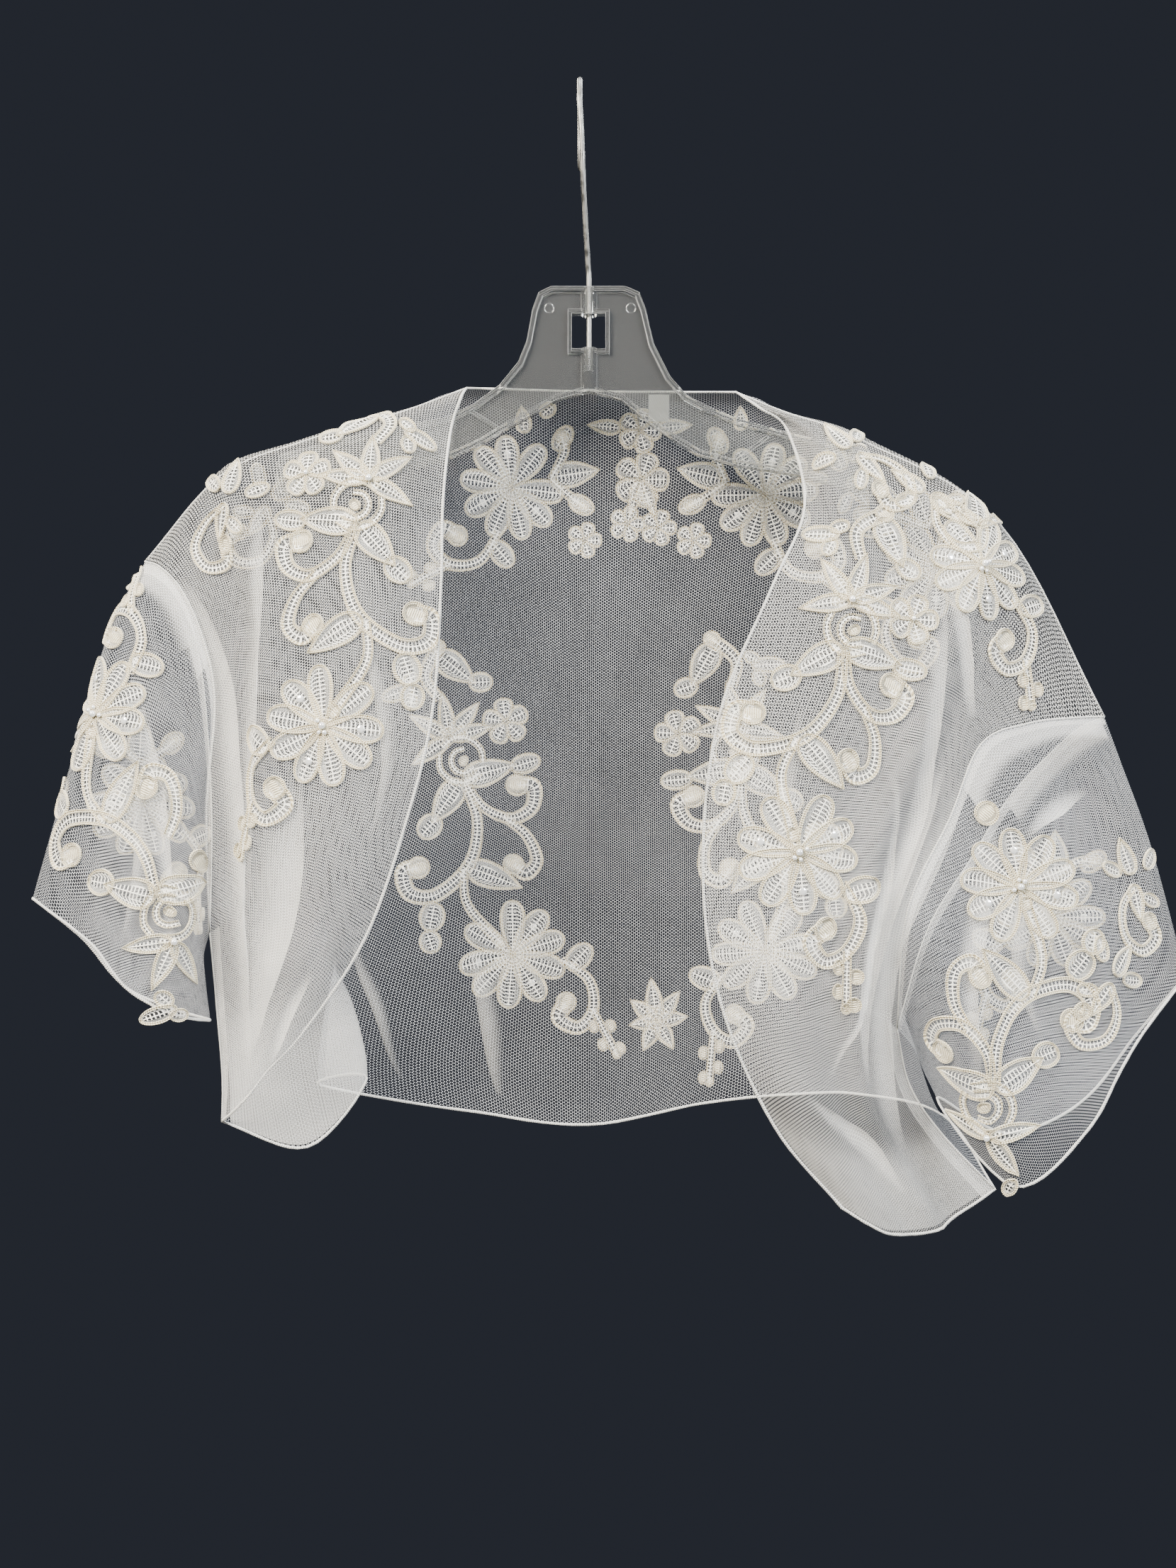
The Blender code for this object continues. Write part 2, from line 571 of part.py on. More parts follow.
def panel_object(panel):
    """The closed wall of one panel."""
    bm = bmesh.new()
    outer = [[bm.verts.new(point) for point in row] for row in panel.outer]
    inner = [[bm.verts.new(point) for point in row] for row in panel.inner]
    lines, count = len(outer), len(outer[0])
    for line in range(lines - 1):
        for index in range(count if panel.closed else count - 1):
            after = (index + 1) % count
            for face, flip in ((outer, 1), (inner, -1)):
                corner, far = face[line][index], face[line + 1][after]
                for triangle in ((corner, face[line][after], far), (corner, far, face[line + 1][index])):
                    bm.faces.new(triangle[::flip])
    for index in range(count if panel.closed else count - 1):
        after = (index + 1) % count
        for line in (0, lines - 1):
            bm.faces.new((outer[line][index], outer[line][after], inner[line][after], inner[line][index]))
    if not panel.closed:
        for line in range(lines - 1):
            for index in (0, count - 1):
                bm.faces.new((outer[line][index], outer[line + 1][index],
                              inner[line + 1][index], inner[line][index]))
    return add_object(panel.name, bm, "net")


def flat(x, y, turn, points):
    """Points given along and across a heading, placed at x and y."""
    cosine, sine = math.cos(math.radians(turn)), math.sin(math.radians(turn))
    return [(x + a * cosine - b * sine, y + a * sine + b * cosine) for a, b in points]


def oval(x, y, turn, length, width, sides=7):
    """An oval about its middle."""
    turns = [2 * math.pi * side / sides for side in range(sides)]
    return flat(x, y, turn, [(length / 2 * math.cos(t), width / 2 * math.sin(t)) for t in turns])


def petal(x, y, turn, length, width, round_end):
    """A petal from its root, with a round end or a pointed one."""
    if round_end:
        edge, end = ((0.3, 0.24), (0.78, 0.5)), (1.0, 0.0)
    else:
        edge, end = ((0.04, 0.12), (0.45, 0.5)), (1.0, 0.0)
    lower = [(a * length, -b * width) for a, b in edge]
    upper = [(a * length, b * width) for a, b in reversed(edge)]
    return flat(x, y, turn, [*lower, (end[0] * length, end[1]), *upper])


def ribbon(start_width, end_width, points, per_point=1):
    """The four-sided pieces of a scroll along its middle line, with a round end."""
    steps = (len(points) - 1) * per_point
    middle = [spline([Vector(point) for point in points], step / per_point) for step in range(steps + 1)]
    sides = []
    for step, point in enumerate(middle):
        along = (middle[min(step + 1, steps)] - middle[max(step - 1, 0)]).normalized()
        part = step / steps
        half = (start_width + (end_width - start_width) * part) / 2
        beside = Vector((-along.y, along.x)) * half
        sides.append((point - beside, point + beside))
    pieces = [
        [tuple(sides[step][0]), tuple(sides[step + 1][0]), tuple(sides[step + 1][1]), tuple(sides[step][1])]
        for step in range(steps)
    ]
    end = middle[-1]
    pieces.append(oval(end.x, end.y, 22.5, end_width * 1.2, end_width * 1.2))
    return pieces


def outlines_of(forms, scrolls):
    """All the outlines of a flat lace shape, which overlap where they are joined."""
    outlines = []
    for kind, x, y, turn, length, width in forms:
        if kind == "lily":
            outlines += [petal(x, y, angle, length, width, False) for angle in LILY_TURNS]
        elif kind == "daisy":
            outlines += [petal(x, y, angle, length, width, True) for angle in DAISY_TURNS]
            outlines.append(oval(x, y, 0, length * 0.75, length * 0.75, 9))
        elif kind == "five":
            outlines += [petal(x, y, 72 * number, length, width, True) for number in range(5)]
        elif kind == "rose":
            outlines.append(oval(x, y, 0, 2 * length, 1.7 * width, 9))
        elif kind == "leaf":
            outlines.append(petal(x, y, turn, length, width, False))
        elif kind == "berry":
            outlines.append(oval(x, y, turn, length, width, 5))
        else:
            outlines.append(oval(x, y, turn, length, width))
    for start_width, end_width, points in scrolls:
        outlines += ribbon(start_width, end_width, points)
    return outlines


def inside(outline, x, y):
    """True where a point lies inside a flat outline."""
    hit = False
    for number, (x_1, y_1) in enumerate(outline):
        x_0, y_0 = outline[number - 1]
        if (y_0 > y) != (y_1 > y) and x < x_0 + (x_1 - x_0) * (y - y_0) / (y_1 - y_0):
            hit = not hit
    return hit


def counterclockwise(outline):
    """The outline turned so that it runs counterclockwise."""
    area = sum(
        outline[number - 1][0] * y - x * outline[number - 1][1] for number, (x, y) in enumerate(outline)
    )
    return outline if area > 0 else outline[::-1]


def union(outlines):
    """Points and triangles that cover all the outlines, with no line left inside them."""
    points, faces = [], []
    for outline in outlines:
        faces.append(list(range(len(points), len(points) + len(outline))))
        points += [Vector(point) for point in counterclockwise(outline)]
    places, _, triangles, _, _, sources = delaunay_2d_cdt(points, [], faces, 0, 1e-4)
    edges = {}
    for triangle, source in zip(triangles, sources):
        if source:
            for number in range(3):
                edge = (triangle[number - 1], triangle[number])
                edges[frozenset(edge)] = edges.get(frozenset(edge), 0) + 1
    rim = [tuple(edge) for edge, count in edges.items() if count == 1]
    used = sorted({index for edge in rim for index in edge})
    number = {index: order for order, index in enumerate(used)}
    places = [places[index] for index in used]
    rim = [(number[a], number[b]) for a, b in rim]
    places, _, triangles, _, _, _ = delaunay_2d_cdt(places, rim, [], 0, 1e-4)
    kept = []
    for triangle in triangles:
        x = sum(places[index].x for index in triangle) / 3
        y = sum(places[index].y for index in triangle) / 3
        if any(inside(outline, x, y) for outline in outlines):
            kept.append(tuple(triangle))
    return places, kept


def largest_patch(triangles):
    """The triangles of the largest patch joined edge to edge, trimmed until no corner is pinched."""
    while True:
        owners = {}
        for index, triangle in enumerate(triangles):
            for number in range(3):
                owners.setdefault(frozenset((triangle[number - 1], triangle[number])), []).append(index)
        group = list(range(len(triangles)))

        def root(index):
            while group[index] != index:
                index = group[index]
            return index

        for pair in owners.values():
            if len(pair) == 2:
                group[root(pair[0])] = root(pair[1])
        sizes = {}
        for index in range(len(triangles)):
            sizes.setdefault(root(index), []).append(index)
        best = max(sizes.values(), key=len)
        triangles = [triangles[index] for index in best]
        rim_ends = {}
        for edge, pair in owners.items():
            if len(pair) == 1 and pair[0] in set(best):
                for corner in edge:
                    rim_ends[corner] = rim_ends.get(corner, 0) + 1
        pinched = {corner for corner, count in rim_ends.items() if count > 2}
        if not pinched:
            return triangles
        drop = next(index for index, triangle in enumerate(triangles) if pinched & set(triangle))
        triangles = triangles[:drop] + triangles[drop + 1:]


def walked_places(panel, faces_back, origin, toward, mirrored, flat_points):
    """The panel place of each flat point, walked down the lace's spine and then out to its side."""
    across, down = panel.find(*origin, faces_back)
    foot = panel.find(*toward, faces_back)
    heading = panel.point(*foot, 0) - panel.point(across, down, 0)
    spine = {0: (across, down, heading)}
    reach = math.ceil(max(abs(point.y) for point in flat_points) / WALK_STEP)
    for way in (1, -1):
        for number in range(1, reach + 2):
            spine[number * way] = panel.move(*spine[(number - 1) * way], way * WALK_STEP)
    places = {}
    for index, (x, y) in enumerate(flat_points):
        number = round(-y / WALK_STEP)
        spot = panel.move(*spine[number], -y - number * WALK_STEP)
        along_across, along_down = panel.slopes(spot[0], spot[1])
        normal = along_across.cross(along_down).normalized() * panel.side
        beside = spot[2].cross(normal) * (1 if mirrored else -1)
        spot = panel.move(spot[0], spot[1], beside, x)
        if panel.holds(spot[0], spot[1], faces_back):
            places[index] = spot[:2]
    return places


def lifted_heights(panel, places, triangles):
    """Heights above the panel that keep the middles of all edges and triangles clear of it."""
    heights = {index: LACE_LIFT for index in places}
    spans = {tuple(sorted(pair)) for a, b, c in triangles for pair in ((a, b), (b, c), (c, a))}
    spans |= set(triangles)
    for _ in range(8):
        for span in sorted(spans):
            share = 1 / len(span)
            across = sum(places[index][0] for index in span) * share
            down = sum(places[index][1] for index in span) * share
            chord = sum((panel.point(*places[index], heights[index]) for index in span), Vector()) * share
            surface = panel.point(across, down, 0)
            normal = panel.point(across, down, 1) - surface
            sunk = LACE_CLEARANCE - (chord - surface).dot(normal)
            if sunk > 0:
                for index in span:
                    heights[index] += sunk
    return heights


def lace_object(name, panel, places, flat_triangles):
    """One piece of lace laid over its panel at the places given."""
    triangles = [triangle for triangle in flat_triangles if all(index in places for index in triangle)]
    triangles = largest_patch(triangles)
    used = sorted({index for triangle in triangles for index in triangle})
    places = {index: places[index] for index in used}
    heights = lifted_heights(panel, places, triangles)
    bm = bmesh.new()
    under = {index: bm.verts.new(panel.point(*places[index], heights[index])) for index in used}
    over = {index: bm.verts.new(panel.point(*places[index], heights[index] + LACE_WALL)) for index in used}
    rim = {}
    for a, b, c in triangles:
        bm.faces.new((over[a], over[b], over[c]))
        bm.faces.new((under[c], under[b], under[a]))
        for edge in ((a, b), (b, c), (c, a)):
            if edge[::-1] in rim:
                del rim[edge[::-1]]
            else:
                rim[edge] = True
    for a, b in rim:
        bm.faces.new((over[b], over[a], under[a], under[b]))
    return add_object(name, bm, "lace")


def inset(outline, width):
    """A closed outline moved inwards by a width, for an outline that runs counterclockwise."""
    moved = []
    count = len(outline)
    for number, point in enumerate(outline):
        point = Vector(point)
        before = (point - Vector(outline[number - 1])).normalized()
        after = (Vector(outline[(number + 1) % count]) - point).normalized()
        beside_0, beside_1 = Vector((-before.y, before.x)), Vector((-after.y, after.x))
        mitre = (beside_0 + beside_1).normalized()
        moved.append(tuple(point + mitre * width / max(0.5, mitre.dot(beside_0))))
    return moved


def hanger_plate():
    """The moulded plate: a thin web inside a deep rim, with a framed window below the neck."""
    outer = counterclockwise([*HANGER_LEFT, HANGER_FOOT, *HANGER_RIGHT[::-1]])
    left, right, foot, head = WINDOW
    hole = [(left, foot), (right, foot), (right, head), (left, head)]
    frame = [
        (left - WINDOW_FRAME, foot - WINDOW_FRAME), (right + WINDOW_FRAME, foot - WINDOW_FRAME),
        (right + WINDOW_FRAME, head + WINDOW_FRAME), (left - WINDOW_FRAME, head + WINDOW_FRAME),
    ]
    rim = inset(outer, RIM_WIDTH)
    deep, thin = RIM_DEPTH / 2, WEB_DEPTH / 2
    bm = bmesh.new()

    def ring(points, depth):
        return [bm.verts.new((x, depth, z)) for x, z in points]

    def band(ring_a, ring_b):
        for number in range(len(ring_a)):
            bm.faces.new((ring_a[number - 1], ring_a[number], ring_b[number], ring_b[number - 1]))

    rings = {
        (shape, side): ring(points, side * depth)
        for side in (1, -1)
        for shape, points, depth in (
            ("outer", outer, deep), ("rim", rim, deep), ("web", rim, thin),
            ("frame foot", frame, thin), ("frame", frame, deep), ("hole", hole, deep),
        )
    }
    web_points = [Vector(point) for point in rim + frame]
    edges = [(number, (number + 1) % len(rim)) for number in range(len(rim))]
    edges += [(len(rim) + number, len(rim) + (number + 1) % 4) for number in range(4)]
    places, _, triangles, _, _, _ = delaunay_2d_cdt(web_points, edges, [], 0, 1e-4)
    for side in (1, -1):
        band(rings["outer", side], rings["rim", side])
        band(rings["rim", side], rings["web", side])
        band(rings["frame foot", side], rings["frame", side])
        band(rings["frame", side], rings["hole", side])
        corners = rings["web", side] + rings["frame foot", side]
        for triangle in triangles:
            x = sum(places[index].x for index in triangle) / 3
            z = sum(places[index].y for index in triangle) / 3
            if inside(rim, x, z) and not inside(frame, x, z):
                bm.faces.new([corners[index] for index in triangle])
    band(rings["outer", 1], rings["outer", -1])
    band(rings["hole", 1], rings["hole", -1])
    return add_object("hanger", bm, "clear")


def helper(name, bm):
    """A shape that only joins or cuts another one."""
    thing = add_object(name, bm, "clear")
    thing.hide_render = True
    thing.display_type = "WIRE"
    return thing


def upright_cylinder(x, foot, head, width, sides):
    """A closed upright cylinder."""
    bm = bmesh.new()
    bmesh.ops.create_cone(bm, cap_ends=True, segments=sides, radius1=width / 2, radius2=width / 2,
                          depth=head - foot)
    bmesh.ops.translate(bm, verts=bm.verts, vec=(x, 0, (head + foot) / 2))
    return bm


def bar(start, end, width, depth):
    """A straight bar between two places of the plate, as deep as given."""
    start, end = Vector(start), Vector(end)
    along = end - start
    bm = bmesh.new()
    bmesh.ops.create_cube(bm, size=1.0)
    bmesh.ops.scale(bm, verts=bm.verts, vec=(along.length, depth, width))
    turn = math.atan2(along.y, along.x)
    for vertex in bm.verts:
        x, z = vertex.co.x, vertex.co.z
        vertex.co.x = (start.x + end.x) / 2 + x * math.cos(turn) - z * math.sin(turn)
        vertex.co.z = (start.y + end.y) / 2 + x * math.sin(turn) + z * math.cos(turn)
    return bm


def combine(thing, tool, operation):
    """Adds a Boolean modifier that joins the tool to the thing or cuts it out."""
    modifier = thing.modifiers.new(tool.name, "BOOLEAN")
    modifier.operation = operation
    modifier.solver = "EXACT"
    modifier.object = tool


def build_hanger():
    """The hanger with its bosses, struts and the bore that takes the hook."""
    plate = hanger_plate()
    for number, (head, foot) in enumerate(BOSSES):
        tool = helper(f"boss_{number}", upright_cylinder(BOSS_X, foot, head, BOSS_WIDTH, 16))
        combine(plate, tool, "UNION")
    for number, (start, end) in enumerate(STRUTS):
        tool = helper(f"strut_{number}", bar(start, end, *STRUT_SIZE))
        combine(plate, tool, "UNION")
    bore = helper("bore", upright_cylinder(BOSS_X, BORE_FOOT, BOSSES[0][0] + 5.0, BORE_WIDTH, 12))
    combine(plate, bore, "DIFFERENCE")


def build_hook():
    """The wire hook, from its free end over the seat and down into the hanger."""
    radius = (RAIL_WIDTH + WIRE) / 2
    centre = -RAIL_WIDTH / 2
    tip = [Vector(point) for point in reversed(HOOK_TIP[1:])]
    bend = [
        Vector((0.0, radius * math.cos(math.radians(turn)), centre + radius * math.sin(math.radians(turn))))
        for turn in range(0, 181, 15)
    ]
    shank = [Vector(point) for point in HOOK_SHANK[1:]]
    path = tip + bend + shank
    steps = 2
    curve = bpy.data.curves.new("hook", "CURVE")
    curve.dimensions = "3D"
    line = curve.splines.new("POLY")
    count = (len(path) - 2) * steps + 2
    line.points.add(count - 1)
    for number in range(count):
        place = min(number / steps, len(path) - 1.0)
        point = path[-1] if number == count - 1 else spline(path, min(place, len(path) - 2.0))
        line.points[number].co = (*(point * MM), 1.0)
    curve.bevel_depth = WIRE / 2 * MM
    curve.bevel_resolution = 1
    curve.use_fill_caps = True
    curve.materials.append(finish("nickel"))
    thing = bpy.data.objects.new("hook", curve)
    bpy.context.scene.collection.objects.link(thing)


def build_label():
    """The bare size tape sewn to the inside of the back neck."""
    bm = bmesh.new()
    bmesh.ops.create_cube(bm, size=1.0)
    bmesh.ops.scale(bm, verts=bm.verts, vec=LABEL_SIZE)
    tilt = math.radians(LABEL_TILT)
    for vertex in bm.verts:
        y, z = vertex.co.y, vertex.co.z
        vertex.co.y = y * math.cos(tilt) - z * math.sin(tilt) + LABEL_PLACE[1]
        vertex.co.z = y * math.sin(tilt) + z * math.cos(tilt) + LABEL_PLACE[2]
        vertex.co.x += LABEL_PLACE[0]
    add_object("label", bm, "tape")


def build_cloth():
    """The five cut pieces of net, mitred along their seams. Returns them by name."""
    front_left = vectors(FRONT_LEFT)
    front_right = vectors(FRONT_RIGHT)
    back = [left + right[-2::-1] for left, right in zip(vectors(BACK_LEFT), vectors(BACK_RIGHT))]
    neck_left, neck_right = 4, 6
    panels = {
        "front_left": Panel("front_left", body_grid(front_left, (4,), ()), False, 1),
        "front_right": Panel("front_right", body_grid(front_right, (4,), ()), False, -1),
        "back": Panel("back", body_grid(back, (0, 10), (neck_left, neck_right)), False, 1),
    }
    end = UNDERARM_ROW * CELLS_DOWN
    lines = len(panels["back"].grid)
    last_front = len(panels["front_left"].grid[0]) - 1
    last_back = len(panels["back"].grid[0]) - 1
    for name, table, column, side in (
        ("sleeve_left", SLEEVE_LEFT, 0, -1), ("sleeve_right", SLEEVE_RIGHT, last_back, 1),
    ):
        front = panels[name.replace("sleeve", "front")]
        back_panel = panels["back"]
        armhole = [front.grid[line][last_front] for line in range(end + 1)]
        armhole += [back_panel.grid[line][column] for line in range(end - 1, 0, -1)]
        sleeve = Panel(name, sleeve_grid(vectors(table), armhole), True, side)
        panels[name] = sleeve
        inside_back = 1 if column == 0 else column - 1
        shoulder = range(last_front + 1)
        crest = [abs(column - place) for place in reversed(shoulder)] if column else list(reversed(shoulder))
        join(front, [(0, place) for place in shoulder], [(1, place) for place in shoulder],
             back_panel, [(0, place) for place in crest], [(1, place) for place in crest])
        side_lines = range(end, lines)
        join(front, [(line, last_front) for line in side_lines], [(line, last_front - 1) for line in side_lines],
             back_panel, [(line, column) for line in side_lines], [(line, inside_back) for line in side_lines])
        hole = range(end + 1)
        join(front, [(line, last_front) for line in hole], [(line, last_front - 1) for line in hole],
             sleeve, [(0, line) for line in hole], [(1, line) for line in hole])
        ring = 2 * end
        join(back_panel, [(line, column) for line in hole], [(line, inside_back) for line in hole],
             sleeve, [(0, (ring - line) % ring) for line in hole], [(1, (ring - line) % ring) for line in hole])
    for panel in panels.values():
        panel.raise_wall()
        panel_object(panel)
    return panels


def build_lace(panels):
    """Every piece of lace, laid on its panel."""
    shapes = {
        "spray": union(outlines_of(SPRAY_FORMS, SPRAY_SCROLLS)),
        "sprig": union(outlines_of(SPRIG_FORMS, SPRIG_SCROLLS)),
        "posy": union(outlines_of(POSY_FORMS, ())),
    }
    for name, panel_name, shape, faces_back, x, z, foot_x, foot_z, mirrored in LACE_PLACES:
        panel = panels[panel_name]
        points, triangles = shapes[shape]
        places = walked_places(panel, faces_back, (x, z), (foot_x, foot_z), mirrored, points)
        lace_object(name, panel, places, triangles)


def main():
    """Clears the scene and builds every piece."""
    for thing in list(bpy.data.objects):
        bpy.data.objects.remove(thing, do_unlink=True)
    build_hook()
    build_hanger()
    build_label()
    build_lace(build_cloth())


main()
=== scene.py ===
"""Looks of a lace bolero on a clear hanger: fine net, corded lace, beads, sequins, hems and hook.

Tables and sizes are in millimetres from the hanger's middle, unless a comment says otherwise, and
the meshes are made in metres.
"""

import logging
import math
from dataclasses import dataclass, field
from enum import Enum

import bpy
import numpy as np
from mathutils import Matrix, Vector


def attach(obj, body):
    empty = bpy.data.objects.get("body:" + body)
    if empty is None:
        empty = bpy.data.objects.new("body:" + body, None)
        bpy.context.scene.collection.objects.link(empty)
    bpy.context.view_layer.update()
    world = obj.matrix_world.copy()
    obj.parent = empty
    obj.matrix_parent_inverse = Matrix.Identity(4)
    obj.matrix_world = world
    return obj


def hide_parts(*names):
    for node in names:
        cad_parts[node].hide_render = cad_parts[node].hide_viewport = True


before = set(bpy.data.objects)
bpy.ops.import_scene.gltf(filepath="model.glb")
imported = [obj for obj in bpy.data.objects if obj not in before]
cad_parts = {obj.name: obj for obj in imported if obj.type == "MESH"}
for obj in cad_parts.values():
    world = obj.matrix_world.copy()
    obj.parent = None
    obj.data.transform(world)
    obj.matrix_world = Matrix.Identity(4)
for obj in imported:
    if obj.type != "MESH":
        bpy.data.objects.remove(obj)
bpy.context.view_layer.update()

Array = np.ndarray
Place = tuple[float, float]
Pair = tuple[float, float]
Triple = tuple[float, float, float]
Colour = tuple[float, float, float, float]
Faces = list[tuple[int, ...]]
LOG = logging.getLogger("bolero")

# Metres in a millimetre, and how far right of the hook's seat the hanger's middle stands.
MM = 0.001
LEAN = 4.0
# The table row at the underarm, and the table units round an armhole.
UNDERARM_ROW = 6
ARMHOLE_TURN = 2 * UNDERARM_ROW
# Table columns of a front's side seam, and of the back's side seams and neck corners.
FRONT_SIDE = 4
BACK_SIDES = (0, 10)
NECK_CORNERS = (4, 6)

# Front panels. Columns: front edge, inner, middle, tip of the shoulder, armhole or side seam.
FRONT_LEFT = (
    ((-60, 4, -147), (-94, 2, -160), (-139, 0, -174), (-180, 0, -191), (-217, 0, -233)),
    ((-62, -4, -154), (-93, -12, -164), (-137, -13, -177), (-177, -12, -194), (-207, -9, -237)),
    ((-67, -5, -171), (-92, -23, -182), (-134, -25, -196), (-169, -20, -217), (-195, -15, -249)),
    ((-69, -22, -208), (-93, -34, -219), (-127, -34, -232), (-159, -26, -249), (-184, -19, -272)),
    ((-69, -32, -250), (-92, -41, -261), (-123, -41, -274), (-155, -31, -288), (-178, -20, -303)),
    ((-72, -40, -307), (-94, -47, -317), (-124, -46, -329), (-155, -34, -343), (-182, -19, -354)),
    ((-83, -43, -356), (-104, -49, -368), (-130, -46, -381), (-158, -32, -398), (-183, -9, -414)),
    ((-103, -41, -413), (-118, -44, -420), (-139, -40, -430), (-160, -28, -440), (-180, -8, -450)),
    ((-133, -33, -458), (-142, -34, -464), (-152, -31, -471), (-163, -23, -477), (-177, -9, -484)),
    ((-152, -27, -478), (-157, -27, -485), (-162, -25, -491), (-169, -20, -498), (-177, -10, -505)),
)
FRONT_RIGHT = (
    ((73, 4, -149), (96, 2, -159), (135, 0, -174), (202, 0, -215), (253, 0, -309)),
    ((84, -4, -159), (103, -12, -166), (135, -13, -177), (195, -12, -218), (235, -9, -310)),
    ((97, -5, -170), (113, -23, -185), (138, -25, -199), (183, -22, -246), (211, -17, -313)),
    ((103, -22, -210), (118, -34, -226), (139, -35, -244), (168, -32, -282), (186, -26, -323)),
    ((86, -34, -250), (108, -42, -266), (133, -43, -289), (155, -38, -324), (170, -31, -358)),
    ((61, -40, -310), (86, -48, -327), (112, -49, -347), (134, -42, -374), (150, -31, -402)),
    ((53, -43, -379), (78, -51, -395), (103, -51, -414), (126, -42, -437), (149, -12, -460)),
    ((61, -43, -442), (83, -50, -455), (104, -47, -469), (128, -34, -483), (156, -8, -488)),
    ((86, -41, -500), (103, -46, -506), (121, -42, -512), (144, -25, -518), (173, -3, -513)),
    ((118, -38, -539), (131, -38, -547), (144, -33, -553), (168, -18, -554), (200, 2, -541)),
)

# Back panel halves. Columns: side, tip of the shoulder, middle, inner, neck, and centre in the left one.
BACK_LEFT = (
    ((-217, 0, -233), (-180, 0, -191), (-139, 0, -174), (-94, 2, -160), (-60, 4, -147), (0, 7, -148)),
    ((-211, 9, -237), (-182, 11, -194), (-141, 12, -177), (-94, 13, -164), (-59, 14, -152), (0, 16, -153)),
    ((-201, 16, -255), (-178, 20, -213), (-141, 24, -193), (-95, 25, -180), (-58, 25, -175), (0, 27, -178)),
    ((-195, 21, -283), (-174, 26, -246), (-139, 32, -228), (-94, 35, -218), (-54, 36, -216), (0, 36, -220)),
    ((-192, 23, -317), (-173, 31, -289), (-138, 38, -274), (-93, 42, -268), (-51, 43, -268), (0, 42, -272)),
    ((-189, 19, -361), (-172, 34, -343), (-137, 43, -334), (-92, 47, -331), (-48, 48, -332), (0, 47, -334)),
    ((-183, -9, -414), (-164, 4, -410), (-142, 16, -407), (-113, 36, -403), (-59, 48, -400), (0, 50, -401)),
    ((-180, -8, -450), (-150, -4, -447), (-119, 6, -445), (-129, 28, -448), (-64, 47, -450), (0, 51, -455)),
    ((-177, -9, -484), (-143, -6, -488), (-111, 6, -472), (-135, 28, -477), (-68, 47, -487), (0, 51, -494)),
    ((-177, -10, -505), (-136, -7, -518), (-109, 5, -487), (-136, 28, -495), (-66, 47, -512), (0, 50, -520)),
)
BACK_RIGHT = (
    ((253, 0, -309), (202, 0, -215), (135, 0, -174), (96, 2, -159), (73, 4, -149)),
    ((243, 10, -315), (202, 11, -222), (138, 12, -178), (101, 13, -164), (74, 14, -155)),
    ((228, 19, -331), (196, 21, -251), (144, 24, -202), (104, 25, -186), (74, 25, -178)),
    ((212, 26, -351), (188, 29, -288), (144, 34, -244), (104, 36, -227), (69, 36, -222)),
    ((195, 29, -380), (175, 35, -331), (138, 41, -296), (101, 42, -277), (64, 42, -272)),
    ((172, 24, -415), (159, 38, -382), (129, 45, -356), (96, 47, -340), (63, 47, -334)),
    ((149, -12, -460), (155, 22, -440), (131, 44, -421), (96, 49, -406), (63, 50, -401)),
    ((156, -8, -488), (164, 20, -475), (136, 44, -465), (98, 50, -456), (63, 51, -453)),
    ((173, -3, -513), (172, 24, -501), (138, 45, -491), (100, 50, -484), (63, 51, -484)),
    ((200, 2, -541), (180, 26, -510), (142, 44, -503), (104, 49, -504), (59, 50, -509)),
)

# Sleeves, a row for each ring below the armhole, and each column's place round the armhole.
# Columns: top, front high, front middle, front low, underarm, back low, back middle, back high.
SLEEVE_KNOTS = (0, 2, 4, 5, 6, 7, 8, 10)
SLEEVE_LEFT = (
    ((-234, 0, -266), (-212, -17, -274), (-188, -24, -327), (-185, -22, -374),
     (-187, -5, -426), (-196, 22, -379), (-201, 26, -331), (-222, 18, -274)),
    ((-251, 0, -324), (-226, -22, -333), (-202, -29, -370), (-190, -26, -407),
     (-186, -4, -441), (-203, 24, -413), (-218, 28, -374), (-239, 22, -336)),
    ((-272, 0, -398), (-236, -25, -417), (-216, -30, -439), (-196, -26, -451),
     (-184, -4, -457), (-209, 24, -456), (-234, 28, -446), (-255, 25, -421)),
)
SLEEVE_RIGHT = (
    ((261, 0, -331), (223, -20, -335), (184, -33, -383), (162, -36, -429),
     (158, -6, -470), (180, 26, -440), (207, 32, -401), (240, 22, -351)),
    ((276, 0, -373), (237, -24, -390), (207, -35, -439), (180, -39, -475),
     (164, -4, -483), (197, 29, -484), (227, 35, -452), (257, 26, -405)),
    ((293, 0, -436), (256, -26, -469), (232, -34, -506), (198, -38, -529),
     (170, -4, -495), (213, 30, -520), (251, 36, -507), (278, 28, -470)),
)

